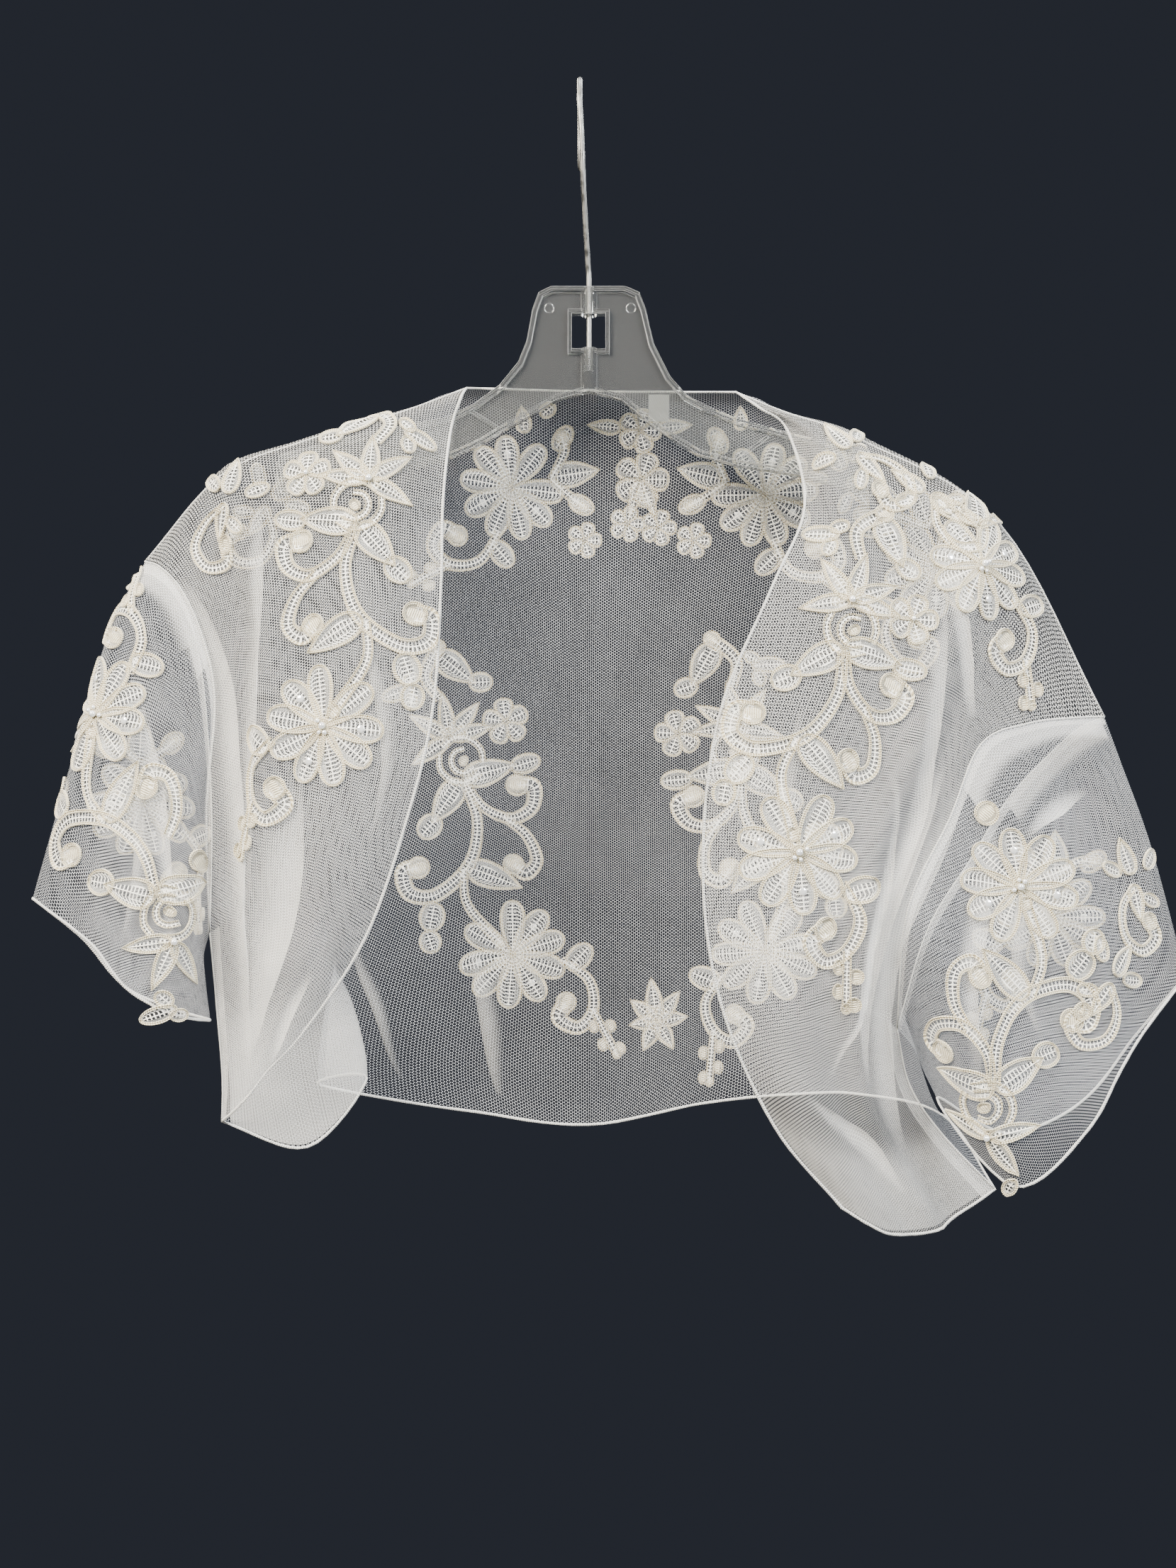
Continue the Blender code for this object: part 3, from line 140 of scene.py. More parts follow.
# Creases in table places. Columns: panel, start across, start down, end across, end down,
# half width in table columns, height out of the cloth.
CREASES = (
    ("front_left", 2.9, 1.2, 2.7, 5.5, 0.34, 3.0),
    ("front_left", 3.4, 1.6, 3.3, 5.0, 0.26, -3.0),
    ("front_left", 2.3, 2.5, 2.2, 6.0, 0.40, -2.5),
    ("front_right", 3.0, 2.0, 2.9, 8.6, 0.30, 4.0),
    ("front_right", 3.5, 3.4, 3.4, 8.8, 0.26, -4.0),
    ("front_right", 2.3, 4.0, 2.5, 7.8, 0.40, -2.0),
    ("back", 4.3, 6.4, 4.2, 9.0, 0.30, 3.0),
    ("back", 6.2, 2.2, 6.4, 6.5, 0.50, -2.5),
    ("back", 3.6, 2.0, 3.4, 5.6, 0.45, -2.5),
    ("sleeve_left", 0.7, 0.2, 0.9, 2.4, 0.50, 2.5),
    ("sleeve_right", 3.2, 0.3, 2.2, 2.4, 0.50, 3.0),
    ("sleeve_right", 2.2, 0.3, 1.2, 2.0, 0.45, -2.5),
    ("sleeve_right", 9.0, 0.4, 9.6, 2.2, 0.50, -2.5),
    ("sleeve_left", 9.0, 0.4, 9.4, 2.2, 0.50, -2.5),
    ("front_left", 3.05, 2.2, 3.0, 7.4, 0.07, 1.3),
    ("front_left", 3.6, 3.4, 3.2, 5.2, 0.09, 1.2),
    ("front_left", 1.4, 6.2, 2.3, 8.4, 0.12, 1.0),
    ("front_left", 3.7, 5.4, 2.4, 7.2, 0.08, 0.9),
    ("front_right", 3.35, 2.6, 3.1, 5.6, 0.08, 1.4),
    ("front_right", 2.85, 3.6, 2.95, 8.8, 0.07, 1.2),
    ("front_right", 3.6, 5.6, 2.5, 6.3, 0.09, 1.1),
    ("front_right", 3.7, 6.1, 2.2, 8.2, 0.08, 1.1),
    ("front_right", 1.6, 6.6, 2.4, 8.7, 0.10, -1.0),
    ("back", 1.5, 2.4, 2.6, 5.0, 0.14, 1.0),
    ("back", 2.6, 6.6, 2.4, 8.9, 0.10, -1.2),
    ("back", 5.2, 7.0, 5.4, 9.0, 0.14, 1.1),
    ("back", 7.4, 3.0, 6.9, 7.6, 0.16, 1.0),
    ("back", 8.6, 2.4, 7.6, 5.4, 0.15, -1.0),
    ("back", 8.0, 6.8, 7.7, 9.0, 0.14, 1.2),
    ("sleeve_left", 2.2, 0.1, 1.6, 2.2, 0.14, 1.0),
    ("sleeve_left", 4.3, 0.1, 3.4, 1.9, 0.16, -1.0),
    ("sleeve_left", 5.4, 0.1, 4.7, 2.6, 0.13, 1.1),
    ("sleeve_left", 7.2, 0.1, 7.9, 2.4, 0.16, 1.0),
    ("sleeve_right", 4.2, 0.05, 2.9, 1.3, 0.12, 1.3),
    ("sleeve_right", 4.9, 0.05, 4.4, 1.9, 0.12, -1.2),
    ("sleeve_right", 5.4, 0.1, 5.0, 2.5, 0.11, 1.2),
    ("sleeve_right", 1.3, 0.1, 0.9, 1.6, 0.16, 0.9),
    ("sleeve_right", 7.4, 0.1, 8.1, 2.3, 0.16, 1.0),
)

# Headings in degrees of a lily's petals, of a daisy's, and of those petals that bear a sequin.
LILY_TURNS = (188, 123, 71, 22, -12)
DAISY_TURNS = (63, 26, -8, -45, -84, -122, -160, 166, 122)
SEQUIN_TURNS = (26, -84, 166)
# A daisy's beads about its middle. Columns: x, y, radius.
DAISY_BEADS = ((0, 0, 1.7), (3.2, 1.4, 1.1), (-2.2, -2.6, 1.2), (0.6, -3.4, 1.0))
# A rose's crescents. Columns: x, y, radius in its lengths, start and end in degrees, width.
ROSE_ARCS = (
    (0, 0, 0.83, -35, 120, 4.6),
    (0, 0, 0.83, 140, 300, 4.6),
    (1, -1, 0.46, 60, 300, 4.0),
)
# A rose's heart: x, y, turn in degrees, length, width.
ROSE_HEART = (1, -1, 30, 6.4, 5.2)


class Form(Enum):
    """The kinds of motif that the lace is drawn with."""

    LEAF = "leaf"
    OVAL = "oval"
    BERRY = "berry"
    LILY = "lily"
    DAISY = "daisy"
    FIVE = "five"
    ROSE = "rose"


# The long spray, with its lily's bead at the origin. Columns of forms: form, x, y, turn in degrees,
# length, width. A flower's turn isn't used: its petals have headings of their own.
SPRAY_FORMS = (
    (Form.OVAL, -13, 33, -8, 18, 9),
    (Form.OVAL, -4, 36, 20, 10, 7),
    (Form.OVAL, -9, 26, 60, 10, 8),
    (Form.LEAF, 15, 42, -66, 26, 15),
    (Form.OVAL, 28, 18, -25, 13, 11),
    (Form.LILY, 0, 0, 0, 25, 9.5),
    (Form.FIVE, 30, -6, 0, 12.5, 10),
    (Form.ROSE, 0, -13, 0, 14, 14),
    (Form.LEAF, -4, -22, -12, 30, 15),
    (Form.OVAL, 29, -30, -10, 17, 11),
    (Form.LEAF, -4, -22, 208, 28, 15),
    (Form.OVAL, -30, -36, 20, 15, 13),
    (Form.LEAF, -23, -63, -50, 32, 15),
    (Form.OVAL, -51, -78, 50, 16, 14),
    (Form.OVAL, -58, -89, 80, 13, 12),
    (Form.DAISY, -23.5, -116, 0, 29, 14),
    (Form.OVAL, 7, -133, 20, 18, 13),
    (Form.BERRY, -3, -169, 90, 7.5, 6.0),
    (Form.BERRY, 5, -173, 90, 7.5, 6.0),
    (Form.BERRY, -3, -180, 90, 7.5, 6.0),
    (Form.BERRY, 4, -186, 90, 7.5, 6.0),
)
# Columns of scrolls: start width, end width, points along the middle.
SPRAY_SCROLLS = (
    (5.0, 6.0, ((5, 20), (4, 34), (17, 44))),
    (3.5, 8.0, ((-3, -24), (-1, -40), (9, -52), (21, -52), (27, -43), (20, -38))),
    (4.0, 7.5, ((6, -50), (12, -63), (11, -77), (3, -81), (-1, -74))),
    (4.5, 8.0, ((-4, -24), (-7, -45), (-21, -63), (-43, -69), (-55, -62), (-53, -51), (-45, -52))),
    (4.0, 4.5, ((-25, -64), (-32, -82), (-26, -108))),
    (4.0, 7.5, ((-2, -130), (6, -146), (1, -161), (-10, -166), (-17, -157), (-10, -151))),
    (3.5, 3.5, ((1, -161), (1, -188))),
)

# The short sprig, with its daisy at the origin.
SPRIG_FORMS = (
    (Form.LEAF, 2, 20, 78, 26, 14),
    (Form.OVAL, -14, 33, 125, 15, 10),
    (Form.OVAL, 20, 30, 40, 15, 10),
    (Form.DAISY, 0, 0, 0, 27, 13),
    (Form.OVAL, 29, -17, 20, 17, 12),
    (Form.BERRY, 22, -54, 90, 7.5, 6.0),
    (Form.BERRY, 30, -58, 90, 7.5, 6.0),
    (Form.BERRY, 22, -65, 90, 7.5, 6.0),
)
SPRIG_SCROLLS = (
    (3.5, 5.0, ((3, 20), (-7, 31), (-15, 33))),
    (3.5, 5.0, ((3, 20), (14, 26), (21, 31))),
    (4.0, 7.5, ((18, -14), (28, -29), (24, -44), (13, -49), (6, -41), (12, -35))),
    (3.5, 3.5, ((24, -44), (26, -66))),
)

# The posy, with its largest flower at the origin.
POSY_FORMS = (
    (Form.LEAF, 0, 0, 252, 20, 8),
    (Form.LEAF, 0, 0, 292, 21, 8),
    (Form.FIVE, 0, 0, 0, 14.5, 11.5),
    (Form.FIVE, -7, -22, 0, 9.5, 7.5),
    (Form.FIVE, 9, -24, 0, 9.5, 7.5),
)

# The neck band's fill, with its upper flower at the origin.
GARLAND_FORMS = (
    (Form.LEAF, -9, 1, 174, 18, 8.5),
    (Form.LEAF, 9, 1, 6, 18, 8.5),
    (Form.FIVE, 0, 0, 0, 11.5, 9.5),
    (Form.FIVE, -28, -54, 0, 9.5, 7.5),
    (Form.FIVE, 28, -54, 0, 9.5, 7.5),
    (Form.LEAF, -58.5, -1.5, 95, 15, 9),
    (Form.OVAL, -46.5, 10.5, 40, 10, 8),
    (Form.LEAF, 51, 0, 92, 13.5, 8.5),
)

# The bloom of pointed petals, with its middle at the origin.
BLOOM_FORMS = (
    (Form.LEAF, 0, 0, 98, 23, 10),
    (Form.LEAF, 0, 0, 52, 20, 9.5),
    (Form.LEAF, 0, 0, 8, 17, 9),
    (Form.LEAF, 0, 0, 142, 18, 9.5),
    (Form.LEAF, 0, 0, 190, 15, 8.5),
    (Form.LEAF, 0, 0, 246, 18, 9.5),
    (Form.LEAF, 0, 0, 300, 18, 9.5),
    (Form.BERRY, 0, 0, 0, 6.5, 6.0),
)

# The twig of small leaves, with its root at the origin.
TWIG_FORMS = (
    (Form.LEAF, 0, 2, 72, 20, 10),
    (Form.OVAL, -12, 10, 130, 13, 8),
    (Form.OVAL, 12, 5, 20, 13, 8),
    (Form.LEAF, 0, -2, -100, 19, 9),
    (Form.OVAL, -10, -10, 200, 11, 7),
)
TWIG_SCROLLS = (
    (3.0, 6.0, ((0, -4), (8, -14), (8, -27), (-2, -34), (-11, -28), (-8, -20))),
)

# Where lace lies. Columns: place, panel, flat shape, faces the back, x and z of the flat origin,
# x and z of a place towards which the flat shape's foot points, mirrored.
LACE_PLACES = (
    ("front_left", "front_left", "spray", False, -103, -199, -145, -308, True),
    ("front_right", "front_right", "spray", False, 122, -257, 120, -373, False),
    ("shoulder_right", "front_right", "sprig", False, 187, -238, 188, -300, False),
    ("shoulder_left", "front_left", "twig", False, -172, -206, -186, -240, True),
    ("shoulder_back_left", "back", "twig", True, -160, -200, -178, -236, True),
    ("shoulder_back_right", "back", "sprig", True, 176, -232, 184, -300, False),
    ("crest_right", "front_right", "twig", False, 126, -184, 146, -200, False),
    ("crest_outer_right", "front_right", "twig", False, 162, -204, 178, -222, True),
    ("crest_back_right", "back", "twig", True, 130, -186, 150, -206, True),
    ("sleeve_outer_right", "sleeve_right", "twig", False, 262, -388, 264, -440, True),
    ("sleeve_inner_right", "sleeve_right", "twig", False, 247, -434, 230, -466, False),
    ("sleeve_left", "sleeve_left", "spray", False, -195, -416, -216, -318, True),
    ("sleeve_right", "sleeve_right", "spray", False, 187, -506, 194, -405, False),
    ("back_neck_left", "back", "sprig", True, -39, -191, -100, -214, True),
    ("back_neck", "back", "posy", True, 27, -187, 27, -230, True),
    ("back_neck_right", "back", "sprig", True, 90, -195, 146, -223, False),
    ("back_neck_fill", "back", "garland", True, 26, -164, 26, -220, True),
    ("back_low", "back", "bloom", True, 36, -466, 36, -500, True),
    ("back_left", "back", "spray", True, -72, -318, -20, -418, True),
    ("back_right", "back", "spray", True, 78, -312, 70, -424, False),
    ("sleeve_back_left", "sleeve_left", "sprig", True, -226, -352, -212, -430, True),
    ("sleeve_back_right", "sleeve_right", "sprig", True, 236, -410, 222, -480, False),
)

# Folds where the net doubles. Columns: panel, faces the back, x and z of places along it,
# half width, depth, strength.
FOLDS = (
    ("front_left", False, ((-197, -246), (-178, -290), (-170, -364), (-167, -430), (-164, -482)),
     10.0, 4.0, 1.0),
    ("front_left", False, ((-138, -340), (-148, -392), (-158, -438), (-165, -472)), 17.0, 3.0, 1.0),
    ("front_left", False, ((-157, -208), (-159, -262), (-162, -330), (-159, -400)), 6.5, 2.5, 0.8),
    ("front_left", False, ((-128, -428), (-142, -452), (-150, -474)), 4.0, 2.5, 1.0),
    ("front_right", False, ((170, -216), (173, -254), (179, -290), (181, -312)), 5.0, 3.0, 0.8),
    ("front_right", False, ((166, -256), (161, -308), (152, -362), (139, -424)), 6.0, 3.5, 0.8),
    ("front_right", False, ((176, -338), (155, -385), (142, -430), (141, -478), (152, -520)), 9.0, 4.5, 1.0),
    ("front_right", False, ((166, -330), (147, -382), (134, -434), (132, -486)), 5.0, 6.0, 1.0),
    ("front_right", False, ((139, -330), (140, -385), (130, -440), (112, -480)), 3.0, 2.5, 1.0),
    ("front_right", False, ((100, -486), (128, -510), (150, -536)), 4.5, 3.0, 1.0),
    ("sleeve_right", False, ((190, -362), (182, -400), (176, -440), (180, -478)), 6.5, 3.5, 0.8),
    ("sleeve_right", False, ((240, -345), (222, -352), (204, -368)), 5.0, 2.5, 0.8),
    ("sleeve_left", False, ((-215, -300), (-205, -345), (-199, -392), (-198, -432)), 5.0, 3.0, 0.8),
    ("back", True, ((-60, -424), (-50, -470), (-45, -506)), 5.5, 3.0, 0.45),
    ("back", True, ((112, -300), (104, -370), (108, -440)), 4.5, 3.0, 0.45),
    ("back", True, ((-118, -250), (-104, -310), (-112, -372)), 4.5, 3.0, 0.45),
    ("back", True, ((-119, -420), (-108, -455), (-95, -495)), 3.5, 2.0, 0.45),
    ("sleeve_left", True, ((-228, -340), (-226, -380), (-236, -424)), 4.5, 2.5, 0.8),
    ("sleeve_right", True, ((226, -380), (222, -430), (234, -476)), 4.5, 2.5, 0.8),
)

# Flaps, where the net lies double along a hem or seam. Columns: panel, and in table places
# start across, end across, down where it fades out, down where it ends, strength.
FLAPS = (
    ("back", 0.1, 2.7, 6.7, 8.95, 0.65),
    ("front_right", 0.1, 3.9, 7.7, 8.95, 0.5),
    ("sleeve_right", 9.0, 15.6, 0.62, 0.02, 0.75),
    ("sleeve_left", 9.4, 15.4, 0.5, 0.02, 0.6),
)

# How far lace may lie past a body panel's top, foot, first and last column, in table units.
BODY_REACH = (0.1, 0.05, 0.14, 0.05)
# How far lace keeps below the armhole, may lie past the cuff and over the sleeve's top, and keeps
# from the underarm.
SLEEVE_REACH = (0.05, 0.22, 1.3, 0.35)

# The part of a noise's range that most of its values lie in.
NOISE_SPAN = (0.3, 0.7)

# The hook, in the frame: the widths of its seat and of its wire, and places of its tip and shank.
SEAT_WIDTH = 32.0
WIRE = 2.5
HOOK_TIP = ((0.0, 21.5, -33), (0.0, 18.2, -25))
HOOK_SHANK = ((0.9, -17.0, -30), (1.6, -13.5, -50), (2.8, -7.0, -70),
              (4.0, -1.2, -88), (4.5, 0.0, -98), (4.5, 0.0, -137))


def vectors(table: tuple) -> Array:
    """The table's triples as an array."""
    return np.array(table, dtype=float)


def unit(rows: Array) -> Array:
    """Each row's direction, of length one."""
    return rows / np.maximum(np.linalg.norm(rows, axis=-1, keepdims=True), 1e-9)


def dots(one: Array, two: Array) -> Array:
    """The dot product of each pair of rows."""
    return np.sum(one * two, axis=1)


def lengths(line: Array) -> Array:
    """How far along a line each of its points lies."""
    return np.concatenate([[0], np.cumsum(np.linalg.norm(np.diff(line, axis=0), axis=1))])


def mean_lengths(grid: Array, axis: int) -> Array:
    """How far each row or column of a grid lies from the first, measured over the grid.

    Args:
        grid: rows and columns of points.
        axis: 0 to measure down the rows, or 1 across the columns.

    Returns:
        A mean length for each row or column.
    """
    steps = np.linalg.norm(np.diff(grid, axis=axis), axis=2).mean(axis=1 - axis)
    return np.concatenate([[0], np.cumsum(steps)])


def round_turns(count: int) -> Array:
    """Even turns round a circle, in radians."""
    return 2 * np.pi * np.arange(count) / count


def smooth_step(part: Array) -> Array:
    """Parts from 0 to 1, eased in and out."""
    return part * part * (3 - 2 * part)


def between(table: Array, line: Array, column: Array, after: Array, down: Array, across: Array) -> Array:
    """Values between four neighbours in a table.

    Args:
        table: rows and columns of values.
        line: the upper line of each place.
        column: the column before it.
        after: the column after it.
        down: how far it lies to the next line, from 0 to 1.
        across: how far it lies to the column after it.

    Returns:
        A value for each place.
    """
    return (
        (table[line, column] * (1 - across) + table[line, after] * across) * (1 - down)
        + (table[line + 1, column] * (1 - across) + table[line + 1, after] * across) * down
    )


def hermite(here: Array, there: Array, slope_in: Array, slope_out: Array, part: Array) -> Array:
    """Blends two points and their slopes.

    Args:
        here: points at the start.
        there: points at the end.
        slope_in: slopes at the start, for the whole stretch.
        slope_out: slopes at the end.
        part: how far along, from 0 to 1.

    Returns:
        The blended points.
    """
    square, cube = part * part, part * part * part
    return (
        here * (2 * cube - 3 * square + 1)
        + slope_in * (cube - 2 * square + part)
        + there * (3 * square - 2 * cube)
        + slope_out * (cube - square)
    )


def curve(points: Array, places: Array) -> Array:
    """Smooth curve through points along the first axis.

    Args:
        points: at least two points, each of any shape.
        places: places counted in points from the first.

    Returns:
        A point for each place.
    """
    last = len(points) - 1
    start = np.clip(places.astype(int), 0, last - 1)
    part = (places - start).reshape(-1, *[1] * (points.ndim - 1))
    wide = np.concatenate([2 * points[:1] - points[1:2], points, 2 * points[-1:] - points[-2:-1]])
    before, here, there, after = (wide[start + step] for step in range(4))
    return hermite(here, there, (there - before) / 2, (after - here) / 2, part)


def fine_curve(points: Array, cells: int) -> Array:
    """Smooth curve through points, with so many stretches between each two."""
    return curve(points, np.arange((len(points) - 1) * cells + 1) / cells)


def ring_curve(knots: Array, turn: float, points: Array, places: Array) -> Array:
    """Smooth closed curve through points at uneven knots.

    Args:
        knots: the place of each point.
        turn: the length of one turn.
        points: the points, each of any shape.
        places: the places wanted.

    Returns:
        A point for each place.
    """
    places = places % turn
    wide_knots = np.concatenate([knots[-1:] - turn, knots, knots[:2] + turn])
    wide = np.concatenate([points[-1:], points, points[:2]])
    tail = [1] * (points.ndim - 1)
    slopes = (wide[2:] - wide[:-2]) / (wide_knots[2:] - wide_knots[:-2]).reshape(-1, *tail)
    start = np.searchsorted(knots, places, side="right") - 1
    width = (wide_knots[start + 2] - wide_knots[start + 1]).reshape(-1, *tail)
    part = (places - knots[start]).reshape(-1, *tail) / width
    return hermite(wide[start + 1], wide[start + 2], slopes[start] * width, slopes[start + 1] * width, part)


def flat_turned(x: float, y: float, turn: float, points: Array) -> Array:
    """Points given along and across a heading, placed flat at x and y.

    Args:
        x: the root's place across.
        y: the root's place up.
        turn: heading in degrees.
        points: rows of along and across.

    Returns:
        Rows of x and y.
    """
    cosine, sine = math.cos(math.radians(turn)), math.sin(math.radians(turn))
    along, across = points[:, 0], points[:, 1]
    return np.stack([x + along * cosine - across * sine, y + along * sine + across * cosine], axis=1)


def new_object(name: str, data: bpy.types.ID | None) -> bpy.types.Object:
    """A new object in the scene.

    Args:
        name: the object's name.
        data: its mesh, curve, light or camera.

    Returns:
        The object, in the scene.
    """
    thing = bpy.data.objects.new(name, data)
    bpy.context.scene.collection.objects.link(thing)
    return thing


@dataclass
class MeshParts:
    """Points, faces, cloth coordinates and finishes gathered into one mesh."""

    points: list[Array] = field(default_factory=list)
    faces: Faces = field(default_factory=list)
    coords: list[Array] = field(default_factory=list)
    finishes: list[int] = field(default_factory=list)
    count: int = 0

    def add(self, points: Array, faces: Faces, coords: Array, finish: int | list[int] = 0) -> None:
        """Adds a stretch of mesh.

        Args:
            points: its points.
            faces: its faces, counted from its own first point.
            coords: each point's cloth coordinate in millimetres.
            finish: the finish of all its faces, or of each.
        """
        self.points.append(points)
        self.coords.append(coords)
        self.faces += [tuple(index + self.count for index in face) for face in faces]
        self.finishes += finish if isinstance(finish, list) else [finish] * len(faces)
        self.count += len(points)

    def build(self, name: str, materials: list[bpy.types.Material], scale: float = MM,
              lean: float = LEAN) -> bpy.types.Object:
        """Makes the object.

        Args:
            name: the piece's name.
            materials: its finishes in order.
            scale: metres for each unit of the points.
            lean: how far the points are moved along X.

        Returns:
            The new object.
        """
        points = np.concatenate(self.points) + np.array([lean, 0.0, 0.0])
        coords = np.concatenate(self.coords)
        mesh = bpy.data.meshes.new(name)
        mesh.from_pydata((points * scale).tolist(), [], self.faces)
        layer = mesh.uv_layers.new(name="cloth")
        corners = np.empty(len(mesh.loops), dtype=np.int32)
        mesh.loops.foreach_get("vertex_index", corners)
        layer.data.foreach_set("uv", coords[corners].astype(np.float32).ravel())
        for material in materials:
            mesh.materials.append(material)
        mesh.polygons.foreach_set("material_index", self.finishes)
        mesh.shade_smooth()
        mesh.update()
        thing = new_object(name, mesh)
        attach(thing, "root")
        return thing


def quads(rows: int, columns: int, closed: bool) -> Faces:
    """Faces of a grid of points.

    Args:
        rows: how many rows of points.
        columns: how many points in a row.
        closed: whether each row is a ring.

    Returns:
        The faces.
    """
    faces = []
    for row in range(rows - 1):
        for column in range(columns if closed else columns - 1):
            after = (column + 1) % columns
            low, high = row * columns, (row + 1) * columns
            faces.append((low + column, low + after, high + after, high + column))
    return faces


class NodeSheet:
    """A material's node tree while it is wired."""

    def __init__(self, name: str) -> None:
        """Starts a material with its Principled shader.

        Args:
            name: the material's name.
        """
        self.material = bpy.data.materials.new(name)
        self.material.use_nodes = True
        self.tree = self.material.node_tree
        self.shader = self.tree.nodes["Principled BSDF"]

    def set(self, **values: object) -> None:
        """Sets the shader's own sockets, underscores standing for spaces."""
        for key, value in values.items():
            self.shader.inputs[key.replace("_", " ")].default_value = value

    def node(self, kind: str, inputs: dict | None = None, **settings: object) -> bpy.types.Node:
        """Adds a node.

        Args:
            kind: the node's type, without its Shader prefix.
            inputs: socket names or numbers, and values or sockets for them.
            settings: the node's own settings.

        Returns:
            The node.
        """
        node = self.tree.nodes.new("ShaderNode" + kind)
        for key, value in settings.items():
            setattr(node, key, value)
        for key, value in (inputs or {}).items():
            if isinstance(value, bpy.types.NodeSocket):
                self.tree.links.new(value, node.inputs[key])
            else:
                node.inputs[key].default_value = value
        return node

    def math(self, operation: str, first: object, second: object = 0.0) -> bpy.types.NodeSocket:
        """One sum. Returns its result."""
        return self.node("Math", {0: first, 1: second}, operation=operation).outputs[0]

    def ramp(self, value: object, start: Pair, end: Pair = (0.0, 1.0)) -> bpy.types.NodeSocket:
        """A smooth step between two values.

        Args:
            value: what it follows.
            start: the two values where it starts and ends.
            end: its results there.

        Returns:
            A socket.
        """
        inputs = {"Value": value, "From Min": start[0], "From Max": start[1],
                  "To Min": end[0], "To Max": end[1]}
        return self.node("MapRange", inputs, interpolation_type="SMOOTHSTEP").outputs["Result"]

    def noise(self, place: object, scale: float, detail: float = 3.0) -> bpy.types.NodeSocket:
        """A soft noise over the places given, from 0 to 1."""
        return self.node("TexNoise", {"Vector": place, "Scale": scale, "Detail": detail}).outputs["Fac"]

    def cloth(self) -> bpy.types.NodeSocket:
        """The cloth coordinate in millimetres."""
        return self.node("UVMap", uv_map="cloth").outputs["UV"]

    def wave(self, coordinate: object, turn: float, pitch: float) -> bpy.types.NodeSocket:
        """A cosine across the cloth.

        Args:
            coordinate: the cloth coordinate.
            turn: the way it runs, in degrees.
            pitch: its length in millimetres.

        Returns:
            A socket from -1 to 1.
        """
        reach = 2 * math.pi / pitch
        way = (reach * math.cos(math.radians(turn)), reach * math.sin(math.radians(turn)), 0.0)
        along = self.node("VectorMath", {0: coordinate, 1: way}, operation="DOT_PRODUCT").outputs["Value"]
        return self.math("COSINE", along)

    def link(self, socket: object, name: str) -> None:
        """Leads a result to one of the shader's sockets."""
        self.tree.links.new(socket, self.shader.inputs[name])

    def bump(self, height: object, strength: float, distance: float) -> None:
        """Leads a height to the shader's normal."""
        inputs = {"Height": height, "Strength": strength, "Distance": distance}
        self.link(self.node("Bump", inputs).outputs["Normal"], "Normal")


@dataclass(frozen=True)
class NetFinish:
    """Hexagonal tulle: round open cells in rows between white threads."""

    name: str
    pitch: float = 1.35
    row_turns: tuple[int, int, int] = (0, 60, 120)
    # Sums of the three waves where a thread is full and where a cell is open, and the cover there.
    narrow: float = -1.29
    wide: float = -0.88
    thread: float = 0.82
    open_cell: float = 0.01
    fades: bool = False
    colour: Colour = (0.95, 0.925, 0.875, 1.0)
    # The soft unevenness of the cover: its scale, detail, and least and greatest parts.
    cloud: float = 0.035
    cloud_detail: float = 2.0
    uneven: Pair = (0.9, 1.08)
    relief: float = 0.35
    relief_depth: float = 0.0003

    def material(self) -> bpy.types.Material:
        """The finish as a material.

        Returns:
            The material with its nodes.
        """
        sheet = NodeSheet(self.name)
        sheet.set(Base_Color=self.colour, Roughness=0.8, Sheen_Weight=0.15, Sheen_Roughness=0.5)
        place = sheet.cloth()
        ridge = self.pitch * math.sqrt(3) / 2
        waves = [sheet.wave(place, turn, ridge) for turn in self.row_turns]
        total = sheet.math("ADD", sheet.math("ADD", waves[0], waves[1]), waves[2])
        cover = sheet.ramp(total, (self.narrow, self.wide), (self.thread, self.open_cell))
        cloud = sheet.noise(place, self.cloud, self.cloud_detail)
        alpha = sheet.math("MULTIPLY", cover, sheet.ramp(cloud, NOISE_SPAN, self.uneven))
        if self.fades:
            fade = sheet.node("Attribute", attribute_name="fade").outputs["Fac"]
            alpha = sheet.math("MULTIPLY", alpha, fade)
        sheet.link(alpha, "Alpha")
        sheet.bump(cover, self.relief, self.relief_depth)
        return sheet.material


@dataclass(frozen=True)
class CordFinish:
    """Twisted ivory cord and satin stitches that run across it, with painted shade where the cord lies low.
    """

    name: str = "satin_cord"
    pitch: float = 1.05
    twist: float = 12.0
    stitch: float = 0.5
    fray: float = 0.9
    # Heights over which the painted shade gives way to the cord's colour. The darker colour is painted shade
    # in the low places between stitches.
    shaded: Pair = (0.05, 0.8)
    colour: Colour = (0.98, 0.9, 0.69, 1.0)
    painted_shade: Colour = (0.5, 0.42, 0.27, 1.0)
    relief: float = 0.8
    relief_depth: float = 0.0005

    def material(self) -> bpy.types.Material:
        """The finish as a material.

        Returns:
            The material with its nodes.
        """
        sheet = NodeSheet(self.name)
        sheet.set(Roughness=0.5, Sheen_Weight=0.4, Sheen_Roughness=0.4)
        place = sheet.cloth()
        stitch = sheet.wave(place, self.twist, self.pitch)
        height = sheet.math("ADD", sheet.math("MULTIPLY", stitch, self.stitch), sheet.noise(place, self.fray))
        # Painted shade: the cord takes its darker colour where the stitches and fray lie low.
        lit = sheet.ramp(height, self.shaded)
        mix = sheet.node("Mix", {"Factor": lit, "A": self.painted_shade, "B": self.colour}, data_type="RGBA")
        sheet.link(mix.outputs["Result"], "Base Color")
        sheet.bump(height, self.relief, self.relief_depth)
        return sheet.material


